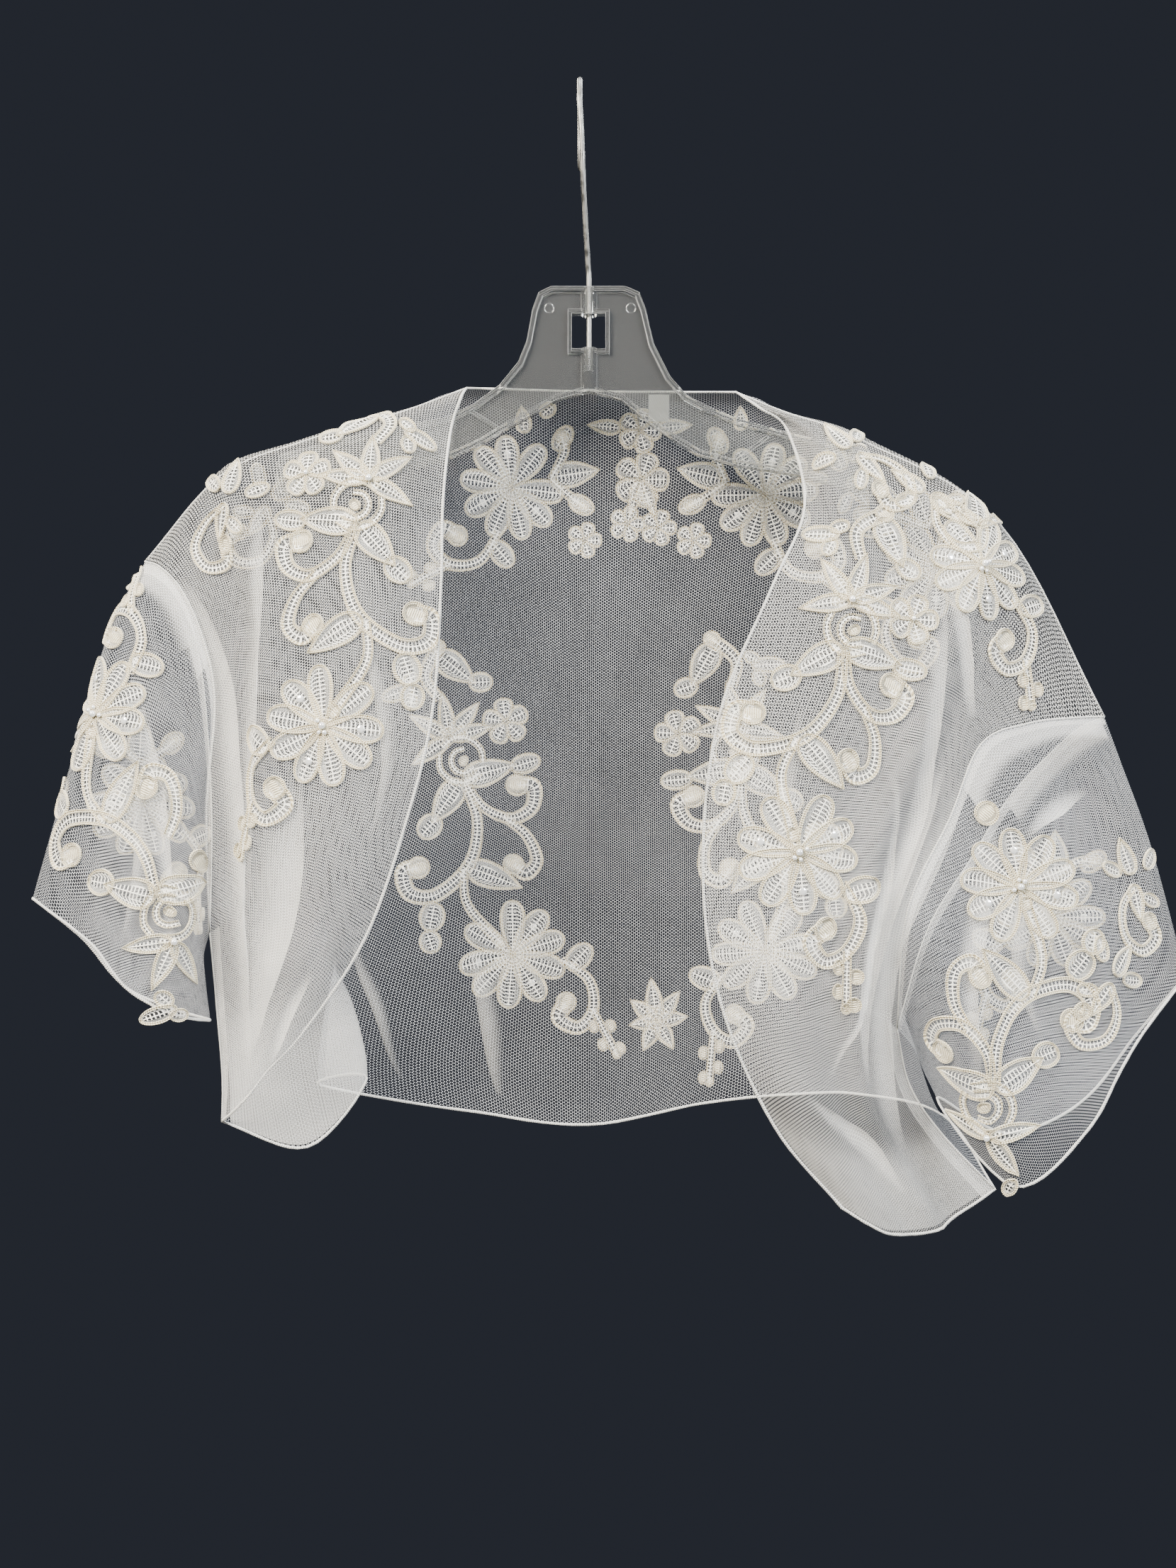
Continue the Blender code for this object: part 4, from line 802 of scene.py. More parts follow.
@dataclass(frozen=True)
class LadderFinish:
    """Open stitches: rungs across a motif with net showing between them."""

    name: str = "ladder_stitch"
    pitch: float = 1.9
    cross_pitch: float = 3.1
    rung_edge: Pair = (0.3, 0.75)
    cross_edge: Pair = (0.72, 0.95)
    cover: Pair = (0.02, 1.0)
    colour: Colour = (0.97, 0.94, 0.84, 1.0)
    relief: float = 0.6
    relief_depth: float = 0.0004

    def material(self) -> bpy.types.Material:
        """The finish as a material.

        Returns:
            The material with its nodes.
        """
        sheet = NodeSheet(self.name)
        sheet.set(Base_Color=self.colour, Roughness=0.6, Sheen_Weight=0.3)
        place = sheet.cloth()
        rungs = sheet.ramp(sheet.wave(place, 0, self.pitch), self.rung_edge)
        crossings = sheet.ramp(sheet.wave(place, 90, self.cross_pitch), self.cross_edge)
        threads = sheet.math("MAXIMUM", rungs, crossings)
        sheet.link(sheet.ramp(threads, (0.0, 1.0), self.cover), "Alpha")
        sheet.bump(threads, self.relief, self.relief_depth)
        return sheet.material


@dataclass(frozen=True)
class PlainFinish:
    """A finish with a fine grain and no pattern."""

    name: str
    colour: Colour
    roughness: float
    metallic: float = 0.0
    transmission: float = 0.0
    ior: float = 1.5
    grain: float = 400.0
    grain_depth: float = 0.02
    coat: float = 0.0
    uneven: float = 0.35
    relief_depth: float = 0.0005

    def material(self) -> bpy.types.Material:
        """The finish as a material.

        Returns:
            The material with its nodes.
        """
        sheet = NodeSheet(self.name)
        sheet.set(Base_Color=self.colour, Metallic=self.metallic, IOR=self.ior,
                  Transmission_Weight=self.transmission, Coat_Weight=self.coat)
        grain = sheet.noise(sheet.node("TexCoord").outputs["Object"], self.grain)
        spread = self.roughness * self.uneven
        range_ends = (self.roughness - spread, self.roughness + spread)
        sheet.link(sheet.ramp(grain, NOISE_SPAN, range_ends), "Roughness")
        sheet.bump(grain, self.grain_depth, self.relief_depth)
        return sheet.material


@dataclass
class NetPanel:
    """One cut piece of net, as a fine grid of points over its table.

    A place on it is a row of across and down, in table units.
    """

    node: str
    grid: Array
    closed: bool
    side: int
    cells_across: int
    cells_down: int
    normals: Array = field(init=False)
    # Table units over which a crease dies away past its ends, and over which slopes are taken.
    crease_end: float = 0.6
    probe: float = 0.15
    rounds: int = 6
    # How far from a body panel's edge eased lace lies, in table units.
    edge_inset: float = 0.02
    weld_gap: float = 0.01

    @property
    def last(self) -> float:
        """The last place across, in table units."""
        return (self.grid.shape[1] - 1) / self.cells_across

    @property
    def foot(self) -> float:
        """The last place down, in table units."""
        return (len(self.grid) - 1) / self.cells_down

    def __post_init__(self) -> None:
        """Presses the creases in and works out the outward directions."""
        self.normals = self.outward()
        self.grid = self.grid + self.normals * self.rise()[..., None]
        self.normals = self.outward()

    def outward(self) -> Array:
        """The outward direction at each point.

        Returns:
            A unit vector for each point of the grid.
        """
        if self.closed:
            across = np.roll(self.grid, -1, axis=1) - np.roll(self.grid, 1, axis=1)
        else:
            across = np.gradient(self.grid, axis=1)
        return unit(np.cross(across, np.gradient(self.grid, axis=0))) * self.side

    def rise(self) -> Array:
        """How far the creases lift each point, none at seams.

        Returns:
            A height for each point of the grid.
        """
        lines, count = self.grid.shape[:2]
        down, across = np.meshgrid(np.arange(lines) / self.cells_down, np.arange(count) / self.cells_across,
                                   indexing="ij")
        total = np.zeros((lines, count))
        for panel, start_across, start_down, end_across, end_down, width, height in CREASES:
            if panel == self.node:
                part = np.clip((down - start_down) / (end_down - start_down), 0, 1)
                beside = across - start_across - (end_across - start_across) * part
                if self.closed:
                    beside = (beside + UNDERARM_ROW) % ARMHOLE_TURN - UNDERARM_ROW
                beyond = np.maximum(0, np.maximum(start_down - down, down - end_down))
                total += height * np.exp(-((beside / width) ** 2) - (beyond / self.crease_end) ** 2)
        still = np.minimum(1, down)
        if not self.closed:
            still = still * np.minimum(1, np.minimum(across, self.last - across))
        return total * still

    def at(self, places: Array, heights: Array | float = 0.0) -> Array:
        """Points on the net.

        Args:
            places: rows of across and down in table units.
            heights: how far out of the net each lies.

        Returns:
            A point for each place.
        """
        lines, count = self.grid.shape[:2]
        across, down = places[:, 0] * self.cells_across, places[:, 1] * self.cells_down
        column = np.floor(across).astype(int)
        if not self.closed:
            column = np.clip(column, 0, count - 2)
        line = np.clip(np.floor(down).astype(int), 0, lines - 2)
        part_across, part_down = (across - column)[:, None], (down - line)[:, None]
        column, after = column % count, (column + 1) % count
        point, normal = (between(table, line, column, after, part_down, part_across)
                         for table in (self.grid, self.normals))
        return point + unit(normal) * np.broadcast_to(heights, len(places))[:, None]

    def slopes(self, places: Array) -> tuple[Array, Array]:
        """How points move for one table unit across, and for one down.

        Args:
            places: places on the panel, across and down.

        Returns:
            The moves for one unit across, and for one unit down.
        """
        sideways = np.array([self.probe, 0.0])
        across = (self.at(places + sideways) - self.at(places - sideways)) / (2 * self.probe)
        low, high = places.copy(), places.copy()
        low[:, 1] = np.clip(places[:, 1] - self.probe, 0, self.foot - self.probe)
        high[:, 1] = np.clip(places[:, 1] + self.probe, self.probe, self.foot)
        down = (self.at(high) - self.at(low)) / (high - low)[:, 1:]
        return across, down

    def walk(self, places: Array, headings: Array, distance: float) -> tuple[Array, Array]:
        """Walks a short way over the net.

        Args:
            places: where each walk starts.
            headings: the direction of each.
            distance: how far, in millimetres.

        Returns:
            The places and headings where the walks end.
        """
        across, down = self.slopes(places)
        normal = unit(np.cross(across, down))
        headings = unit(headings - normal * dots(normal, headings)[:, None])
        wide, slant, tall = dots(across, across), dots(across, down), dots(down, down)
        sideways, downward = dots(headings, across), dots(headings, down)
        scale = distance / (wide * tall - slant * slant)
        steps = [(sideways * tall - downward * slant) * scale, (downward * wide - sideways * slant) * scale]
        return places + np.stack(steps, axis=1), headings

    def find(self, x: float, z: float, faces_back: bool) -> Array:
        """The place that lies at x and z as seen from the front.

        Args:
            x: millimetres from the hanger's middle.
            z: millimetres from the hook's seat.
            faces_back: whether it is on a side that faces the back.

        Returns:
            One row of across and down.
        """
        away = np.hypot(self.grid[..., 0] - x, self.grid[..., 2] - z)
        away[(self.normals[..., 1] > 0) != faces_back] = np.inf
        line, column = np.unravel_index(np.argmin(away), away.shape)
        place = np.array([[column / self.cells_across, line / self.cells_down]])
        for _ in range(self.rounds):
            across, down = self.slopes(place)
            rest = np.array([x, z]) - self.at(place)[0, [0, 2]]
            turn = np.stack([across[0, [0, 2]], down[0, [0, 2]]], axis=1)
            place = place + np.linalg.solve(turn, rest)[None, :]
        return place

    def holds(self, places: Array, faces_back: bool) -> Array:
        """Which places are on the panel, or so near that lace can be eased on to it.

        Args:
            places: places on the panel, across and down.
            faces_back: whether the lace is on the back of a sleeve.

        Returns:
            True for each place that it holds.
        """
        across, down = places[:, 0], places[:, 1]
        if not self.closed:
            above, below, before, after = BODY_REACH
            level = (down >= -above) & (down <= self.foot + below)
            return level & (across >= -before) & (across <= self.last + after)
        seam, cuff, over, under = SLEEVE_REACH
        level = (down >= seam) & (down <= self.foot + cuff)
        if faces_back:
            return level & (across >= UNDERARM_ROW + under) & (across <= ARMHOLE_TURN + over)
        return level & (across >= -over) & (across <= UNDERARM_ROW - under)

    def eased(self, places: Array) -> Array:
        """The places, moved on to a body panel where they lie just beyond its edges.

        Args:
            places: places on the panel, across and down.

        Returns:
            The moved places, or the same ones on a sleeve.
        """
        if self.closed:
            return places
        return np.clip(places, self.edge_inset, np.array([self.last, self.foot]) - self.edge_inset)

    def build(self, material: bpy.types.Material) -> bpy.types.Object:
        """Makes the net.

        Args:
            material: its finish.

        Returns:
            The piece, which stands for the panel's solid.
        """
        grid = self.grid
        if self.closed:
            grid = np.concatenate([grid, grid[:, :1]], axis=1)
        coords = np.stack(np.meshgrid(mean_lengths(grid, 1), mean_lengths(grid, 0)), axis=-1)
        parts = MeshParts()
        parts.add(grid.reshape(-1, 3), quads(*grid.shape[:2], False), coords.reshape(-1, 2))
        piece = parts.build("net_" + self.node, [material])
        if self.closed:
            piece.modifiers.new("sleeve_seam", "WELD").merge_threshold = self.weld_gap * MM
        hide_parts(self.node)
        return piece


@dataclass
class Net:
    """The five cut pieces of net and the seams and hems that join and edge them."""

    cells: int = 8
    cells_along_sleeve: int = 14
    hem_radius: float = 0.65
    seam_radius: float = 0.42
    cord_sides: int = 6
    # How high and how broad a hem or seam lies, in its radii.
    cord_section: Pair = (0.8, 1.1)
    # Unevenness of hems and seams. Columns: height in radii, pace, start.
    cord_waves: tuple[Triple, ...] = ((0.07, 1.9, 0.0), (0.05, 0.73, 1.0))
    # Seam allowances, in table units below the armhole and across a front.
    armhole_allowance: Pair = (0.01, 0.17)
    armhole_lines: int = 4
    side_allowance: Pair = (3.78, 3.99)
    side_lines: int = 3
    allowance_inset: float = 0.5
    # Flaps: how far inside the panel, lines down each, and the lines over which it fades in.
    flap_inset: float = 0.6
    flap_lines: int = 21
    flap_fade: int = 9
    strip_points: int = 24
    # Millimetres of doubled net in a table unit, across and down.
    unit_size: Pair = (30.0, 50.0)
    fold_cells: int = 14
    fold_columns: int = 17
    fold_inset: float = 0.35
    # A fold's part of its width at its ends, and what its middle adds.
    fold_width: Pair = (0.35, 0.65)
    # How far a fold's width sways, and the pace.
    fold_sway: Pair = (0.15, 2.3)
    # The way the net's rows run in a fold.
    fold_bias: Pair = (0.92, 0.39)
    # Half widths over which a fold fades in from its soft side, and the power it fades in by along it.
    fold_soft: float = 1.5
    fold_fullness: float = 0.8
    panels: dict[str, NetPanel] = field(default_factory=dict)

    def body_grid(self, table: Array, side_columns: tuple[int, ...], corners: tuple[int, ...]) -> Array:
        """A body panel's fine grid.

        Args:
            table: its table of points.
            side_columns: the columns that turn a corner at the underarm.
            corners: columns where the top line turns a corner.

        Returns:
            Lines of points down the panel.
        """
        places_down = np.arange((len(table) - 1) * self.cells + 1) / self.cells
        places_across = np.arange((table.shape[1] - 1) * self.cells + 1) / self.cells
        stations = curve(table, places_down)
        above = places_down <= UNDERARM_ROW
        for column in side_columns:
            stations[above, column] = curve(table[: UNDERARM_ROW + 1, column], places_down[above])
            stations[~above, column] = curve(table[UNDERARM_ROW:, column], places_down[~above] - UNDERARM_ROW)
        grid = curve(stations.transpose(1, 0, 2), places_across).transpose(1, 0, 2)
        bounds = (0, *corners, table.shape[1] - 1)
        for low, high in zip(bounds, bounds[1:]):
            inside = (places_across >= low) & (places_across <= high)
            grid[0, inside] = curve(table[0, low: high + 1], places_across[inside] - low)
        return grid

    def sleeve_grid(self, table: Array, armhole: Array) -> Array:
        """A sleeve's fine grid, from its armhole out.

        Args:
            table: its table of rings.
            armhole: the body's points round the armhole.

        Returns:
            Rings of points.
        """
        knots = np.array(SLEEVE_KNOTS)
        first = armhole[knots * self.cells]
        rings = np.concatenate([first[None], table])
        steps = len(table) * self.cells_along_sleeve
        stations = curve(rings, np.arange(steps + 1) / self.cells_along_sleeve)
        places = np.arange(len(armhole)) / self.cells
        smooth = ring_curve(knots, ARMHOLE_TURN, stations.transpose(1, 0, 2), places).transpose(1, 0, 2)
        fade = (1 - np.arange(steps + 1) / steps) ** 2
        return smooth + (armhole - smooth[0])[None] * fade[:, None, None]

    def cut(self) -> None:
        """Works out all five panels from their tables."""
        front_left = self.body_grid(vectors(FRONT_LEFT), (FRONT_SIDE,), ())
        front_right = self.body_grid(vectors(FRONT_RIGHT), (FRONT_SIDE,), ())
        halves = vectors(BACK_LEFT), vectors(BACK_RIGHT)[:, ::-1]
        back = self.body_grid(np.concatenate(halves, axis=1), BACK_SIDES, NECK_CORNERS)
        for name, grid, side in (("front_left", front_left, 1), ("front_right", front_right, -1),
                                 ("back", back, 1)):
            self.panels[name] = NetPanel(name, grid, False, side, self.cells, self.cells)
        underarm = UNDERARM_ROW * self.cells
        for name, table, front, column, side in (("sleeve_left", SLEEVE_LEFT, front_left, 0, -1),
                                                 ("sleeve_right", SLEEVE_RIGHT, front_right, -1, 1)):
            armhole = np.concatenate([front[: underarm + 1, -1], back[underarm - 1: 0: -1, column]])
            grid = self.sleeve_grid(vectors(table), armhole)
            self.panels[name] = NetPanel(name, grid, True, side, self.cells, self.cells_along_sleeve)

    def hem_line(self) -> tuple[Array, Array]:
        """The closed line of the body's free edges, and the net's outward directions along it.

        Returns:
            The line's points, and the outward direction at each.
        """
        start, end = NECK_CORNERS
        neck = slice(start * self.cells, end * self.cells + 1)

        def line(left: Array, right: Array, back: Array) -> Array:
            """The panels' values all the way round."""
            return np.concatenate([left[:, 0], left[-1, 1:], back[-1, 1:],
                                   right[-1, -2::-1], right[-2::-1, 0], back[0, neck][-2:0:-1]])

        panels = [self.panels[name] for name in ("front_left", "front_right", "back")]
        return line(*(panel.grid for panel in panels)), line(*(panel.normals for panel in panels))

    def tube(self, points: Array, normals: Array, radius: float, closed: bool) -> MeshParts:
        """A slightly uneven cord along a line on the net.

        Args:
            points: the line.
            normals: the net's outward directions along it.
            radius: the cord's radius in millimetres.
            closed: whether the line is a ring.

        Returns:
            The cord's mesh.
        """
        count, sides = len(points), self.cord_sides
        along = unit(np.roll(points, -1, axis=0) - np.roll(points, 1, axis=0) if closed
                     else np.gradient(points, axis=0))
        out = unit(normals - along * dots(normals, along)[:, None])
        beside = np.cross(along, out)
        turns = round_turns(sides)
        numbers = np.arange(count)
        uneven = np.ones(count)
        for height, pace, start in self.cord_waves:
            uneven = uneven + height * np.sin(numbers * pace + start)
        high, broad = self.cord_section
        rings = points[:, None] + radius * uneven[:, None, None] * (
            out[:, None] * np.cos(turns)[:, None] * high + beside[:, None] * np.sin(turns)[:, None] * broad
        )
        coords = np.stack(np.broadcast_arrays(lengths(points)[:, None], (turns * radius)[None, :]), axis=-1)
        faces = quads(count, sides, True)
        last = (count - 1) * sides
        if closed:
            faces += [(last + side, last + (side + 1) % sides, (side + 1) % sides, side)
                      for side in range(sides)]
        else:
            faces += [tuple(range(sides))[::-1], tuple(range(last, last + sides))]
        parts = MeshParts()
        parts.add(rings.reshape(-1, 3), faces, coords.reshape(-1, 2))
        return parts

    def band(self, panel: NetPanel, across: Array, down: Array, depth: float) -> MeshParts:
        """A strip of doubled net inside a panel, such as a seam allowance.

        Args:
            panel: the panel it lies in.
            across: table places across.
            down: table places down.
            depth: how far inside the net it lies.

        Returns:
            The strip's mesh.
        """
        places = np.stack(np.meshgrid(across, down), axis=-1).reshape(-1, 2)
        coords = places * np.array(self.unit_size)
        parts = MeshParts()
        parts.add(panel.at(places, -depth), quads(len(down), len(across), False), coords)
        return parts

    def fold(self, panel: NetPanel, faces_back: bool, path: tuple[Place, ...], half: float,
             depth: float) -> tuple[MeshParts, Array]:
        """A fold: net that doubles behind the panel, crisp on one side and soft on the other.

        Args:
            panel: the panel it lies behind.
            faces_back: whether it is on a side that faces the back.
            path: x and z of places along it.
            half: half its width in millimetres.
            depth: how far it stands behind the panel.

        Returns:
            The fold's mesh, and how far it has faded in at each point.
        """
        found = np.concatenate([panel.find(x, z, faces_back) for x, z in path])
        part = np.linspace(0, len(found) - 1, self.fold_cells * (len(found) - 1) + 1)
        places = curve(found, part)
        along = unit(np.gradient(panel.at(places), axis=0))
        across, down = panel.slopes(places)
        beside = np.cross(along, unit(np.cross(across, down)) * panel.side)
        full = np.sin(np.pi * np.linspace(0.0, 1.0, len(part)))
        sway, pace = self.fold_sway
        least, more = self.fold_width
        reach = (least + more * full) * (1 + sway * np.sin(part * pace))
        columns = []
        offsets = np.linspace(-1, 1, self.fold_columns)
        for offset in offsets:
            moved, _ = panel.walk(places, beside, offset * half * reach)
            bulge = depth * full * math.sqrt(max(0.0, 1 - offset * offset))
            columns.append(panel.at(moved, -self.fold_inset - bulge))
        grid = np.stack(columns, axis=1)
        length = lengths(grid[:, self.fold_columns // 2])[:, None]
        width = mean_lengths(grid, 1)[None, :]
        straight, slanted = self.fold_bias
        coords = np.stack(np.broadcast_arrays(length * straight + width * slanted,
                                              width * straight - length * slanted), axis=-1)
        soft = smooth_step(np.clip((1 - offsets) / self.fold_soft, 0, 1))
        fade = (full ** self.fold_fullness)[:, None] * soft[None, :]
        parts = MeshParts()
        parts.add(grid.reshape(-1, 3), quads(len(part), len(columns), False), coords.reshape(-1, 2))
        return parts, fade.ravel()

    def edge_sleeve(self, name: str, rolled: bpy.types.Material,
                    doubled: bpy.types.Material) -> list[bpy.types.Object]:
        """The cuff's hem, the armhole's seam and its allowance.

        Args:
            name: left or right.
            rolled: the finish of hems and seams.
            doubled: the finish of doubled net.

        Returns:
            The new pieces.
        """
        sleeve = self.panels["sleeve_" + name]
        cuff = self.tube(sleeve.grid[-1], sleeve.normals[-1], self.hem_radius, True)
        seam = self.tube(sleeve.grid[0], sleeve.normals[0], self.seam_radius, True)
        ring = np.arange(len(sleeve.grid[0]) + 1) / self.cells
        below = np.linspace(*self.armhole_allowance, self.armhole_lines)
        allowance = self.band(sleeve, ring, below, self.allowance_inset)
        return [cuff.build("hem_cuff_" + name, [rolled]), seam.build("seam_armhole_" + name, [rolled]),
                allowance.build("allowance_armhole_" + name, [doubled])]

    def edge_front(self, name: str, rolled: bpy.types.Material,
                   doubled: bpy.types.Material) -> list[bpy.types.Object]:
        """The shoulder's seam, the side's seam and its allowance.

        Args:
            name: left or right.
            rolled: the finish of hems and seams.
            doubled: the finish of doubled net.

        Returns:
            The new pieces.
        """
        front = self.panels["front_" + name]
        shoulder = self.tube(front.grid[0], front.normals[0], self.seam_radius, False)
        underarm = UNDERARM_ROW * self.cells
        side = self.tube(front.grid[underarm:, -1], front.normals[underarm:, -1], self.seam_radius, False)
        beside = np.linspace(*self.side_allowance, self.side_lines)
        down = np.linspace(UNDERARM_ROW, front.foot, self.strip_points)
        allowance = self.band(front, beside, down, self.allowance_inset)
        return [shoulder.build("seam_shoulder_" + name, [rolled]), side.build("seam_side_" + name, [rolled]),
                allowance.build("allowance_side_" + name, [doubled])]

    def strips(self) -> list[tuple[str, str, MeshParts, Array]]:
        """The flaps and folds.

        Returns:
            The panel, name and mesh of each, and how far it has faded in at each point.
        """
        strips = []
        rise = np.repeat(np.clip(np.arange(self.flap_lines) / self.flap_fade, 0, 1), self.strip_points)
        for name, start, end, top, foot, strength in FLAPS:
            across, down = np.linspace(start, end, self.strip_points), np.linspace(top, foot, self.flap_lines)
            flap = self.band(self.panels[name], across, down, self.flap_inset)
            strips.append((name, "flap_" + name, flap, smooth_step(rise) * strength))
        for number, (name, faces_back, path, half, depth, strength) in enumerate(FOLDS):
            fold, fade = self.fold(self.panels[name], faces_back, path, half, depth)
            strips.append((name, f"fold_{name}_{number}", fold, fade * strength))
        return strips

    def dress(self) -> dict[str, list[bpy.types.Object]]:
        """Makes the net pieces, hems, seams, folds and seam allowances.

        Returns:
            For each panel its net first, and then what is sewn to it.
        """
        net = NetFinish("tulle").material()
        # The back and sleeves take a thinner, cooler copy of the fronts' tulle, so that they read darker:
        # painted shade.
        painted_shade_tulle = NetFinish("tulle_painted_shade", narrow=-1.34, wide=-0.97, colour=(0.89, 0.9, 0.93, 1.0)).material()
        doubled = NetFinish("tulle_doubled", thread=0.9, open_cell=0.2).material()
        faded = NetFinish("tulle_fold", thread=0.95, open_cell=0.36, fades=True).material()
        rolled = CordFinish("rolled_hem", pitch=1.1, colour=(0.84, 0.82, 0.77, 1.0),
                            painted_shade=(0.62, 0.61, 0.57, 1.0)).material()
        made = {name: [panel.build(net if name.startswith("front") else painted_shade_tulle)]
                for name, panel in self.panels.items()}
        hem = self.tube(*self.hem_line(), self.hem_radius, True)
        made["back"].append(hem.build("hem_body", [rolled]))
        for name in ("left", "right"):
            made["sleeve_" + name] += self.edge_sleeve(name, rolled, doubled)
            made["front_" + name] += self.edge_front(name, rolled, doubled)
        for name, title, strip, fade in self.strips():
            piece = strip.build(title, [faded])
            values = piece.data.attributes.new("fade", "FLOAT", "POINT").data
            values.foreach_set("value", fade.astype(np.float32))
            made[name].append(piece)
        return made


@dataclass
class FlatLace:
    """A flat drawing of corded lace: rows of x, y and height, with faces and stitch coordinates."""

    # The rim's rings: how deep each lies inside the outline, and its height.
    rim: tuple[float, ...] = (0.0, 0.12, 0.34, 0.57, 0.68, 1.04, 1.3, 1.5, 1.66)
    rim_heights: tuple[float, ...] = (0.1, 0.8, 1.15, 0.8, 0.35, 0.42, 0.85, 0.8, 0.25)
    span: int = 30
    # Half widths from which a motif's and a scroll's rims have their whole size.
    full_motif: float = 4.6
    full_scroll: float = 3.9
    # How far a motif's axis keeps from its ends, in rims, and at most in its lengths.
    axis_inset: Pair = (1.4, 0.45)
    deepest_rim: float = 0.8
    # Rings inside the rim. Columns: part of the way to the axis, height.
    field_rings: tuple[Pair, ...] = ((0.45, 0.2), (0.85, 0.25))
    ridge_ring: float = 0.97
    rib_height: float = 0.85
    axis_height: float = 0.35
    petal_egg: float = 0.75
    leaf_egg: float = 0.1
    leaf_fullness: float = 1.3
    scroll_cells: int = 7
    scroll_height: float = 0.2
    root_fullness: float = 1.1
    scroll_fullness: float = 1.3
    # The oval that closes a curl, in widths of the scroll's end.
    curl_size: Pair = (1.2, 1.15)
    arc_points: int = 6
    arc_root: float = 0.7
    daisy_fullness: float = 0.92
    daisy_middle: float = 0.24
    sequin_place: float = 0.62
    lily_bead: float = 1.6
    five_bead: float = 1.1
    motifs: list[tuple[Array, Faces, Array, list[int]]] = field(default_factory=list)
    beads: list[Triple] = field(default_factory=list)
    sequins: list[Place] = field(default_factory=list)

    def motif(self, outline: Array, length: float, place: Triple, satin: bool = False,
              rib: bool = False) -> None:
        """One corded motif with stitches inside.

        Args:
            outline: rows of along and across, symmetric about the axis, starting at the root.
            length: how long it is from root to tip.
            place: x, y and turn.
            satin: whether it is filled with satin stitch in place of open rungs.
            rib: whether a rib runs down its middle.
        """
        half = np.abs(outline[:, 1]).max()
        scale = min(1.0, half / self.full_motif)
        count = len(outline)
        in_rims, in_lengths = self.axis_inset
        reach = min(self.rim[-1] * scale * in_rims, length * in_lengths)
        axis = np.stack([np.clip(outline[:, 0], reach, length - reach), np.zeros(count)], axis=1)
        inward = axis - outline
        room = np.linalg.norm(inward, axis=1, keepdims=True)
        rings, heights = [], []
        for depth, height in zip(self.rim, self.rim_heights):
            part = np.minimum(depth * scale / np.maximum(room, 1e-6), self.deepest_rim)
            rings.append(outline + inward * part)
            heights.append(np.full(count, height))
        inner = rings[-1]
        ridge = (self.ridge_ring, self.rib_height if rib else self.axis_height)
        for part, height in (*self.field_rings, ridge):
            rings.append(inner + (axis - inner) * part)
            heights.append(np.full(count, height))
        edge = lengths(outline)
        coords = [np.stack([edge, np.full(count, depth)], axis=1) for depth in self.rim]
        coords += rings[len(self.rim):]
        faces = quads(len(rings), count, True)
        last = (len(rings) - 1) * count
        faces += [(last + step, last + step + 1, last + count - step - 2, last + count - step - 1)
                  for step in range(count // 2 - 1)]
        corded = (len(self.rim) - 1) * count
        finishes = [0 if number < corded or satin else 1 for number in range(len(faces))]
        rows = np.column_stack([flat_turned(*place, np.concatenate(rings)), np.concatenate(heights)])
        self.motifs.append((rows, faces, np.concatenate(coords), finishes))

    def rounded(self, length: float, width: float, egg: float, pointed: bool) -> Array:
        """An outline about an axis: an oval, an egg or a pointed leaf.

        Args:
            length: its length along the axis.
            width: its width.
            egg: how much its far half is fuller than its near half.
            pointed: whether it is a leaf.

        Returns:
            Its points, along and across the axis.
        """
        turns = (np.arange(self.span) + 0.5) * 2 * np.pi / self.span
        along = length / 2 * (1 - np.cos(turns))
        across = -width / 2 * np.sin(turns) * (1 + egg * (along / length - 0.5))
        if pointed:
            across = across * self.leaf_fullness * np.abs(np.cos(turns / 2))
        return np.stack([along, across], axis=1)

    def petal(self, x: float, y: float, turn: float, length: float, width: float, pointed: bool) -> None:
        """A petal from its root."""
        outline = self.rounded(length, width, self.leaf_egg if pointed else self.petal_egg, pointed)
        self.motif(outline, length, (x, y, turn), rib=pointed)

    def oval(self, x: float, y: float, turn: float, length: float, width: float, satin: bool = False) -> None:
        """An oval about its middle.

        Args:
            x: its middle, across.
            y: its middle, up.
            turn: the turn of its axis in degrees.
            length: its length along the axis.
            width: its width.
            satin: whether it is filled with satin stitch.
        """
        outline = self.rounded(length, width, 0.0, False)
        cosine, sine = math.cos(math.radians(turn)), math.sin(math.radians(turn))
        self.motif(outline, length, (x - cosine * length / 2, y - sine * length / 2, turn), satin)

    def scroll(self, start_width: float, end_width: float, points: Array, rounded_end: bool = True) -> None:
        """A scroll with a cord and a satin band down both its sides and rungs between them.

        Args:
            start_width: its width at the root.
            end_width: its width at the curl.
            points: rows of x and y down its middle.
            rounded_end: whether an oval closes its curl.
        """
        middle = fine_curve(points, self.scroll_cells)
        along = unit(np.gradient(middle, axis=0))
        beside = np.stack([-along[:, 1], along[:, 0]], axis=1)
        half = np.linspace(start_width, end_width, len(middle)) / 2
        length = lengths(middle)
        scale = np.minimum(1.0, half / self.full_scroll)
        depths = [depth * scale for depth in self.rim]
        offsets = [-half + depth for depth in depths] + [np.zeros(len(half))]
        offsets += [half - depth for depth in depths[::-1]]
        heights = [*self.rim_heights, self.scroll_height, *self.rim_heights[::-1]]
        rows, coords = [], []
        for step in range(len(middle)):
            for offset, height in zip(offsets, heights):
                spot = middle[step] + beside[step] * offset[step]
                rows.append((*spot, height))
                coords.append((length[step], offset[step]))
        count = len(offsets)
        faces = [face[::-1] for face in quads(len(middle), count, False)]
        rim = len(self.rim)
        finishes = [0 if number % (count - 1) < rim - 1 or number % (count - 1) > rim else 1
                    for number in range(len(faces))]
        self.motifs.append((np.array(rows), faces, np.array(coords), finishes))
        if rounded_end:
            turn = math.degrees(math.atan2(along[-1][1], along[-1][0]))
            oval_length, oval_width = (end_width * part for part in self.curl_size)
            self.oval(*middle[-1], turn, oval_length, oval_width, True)

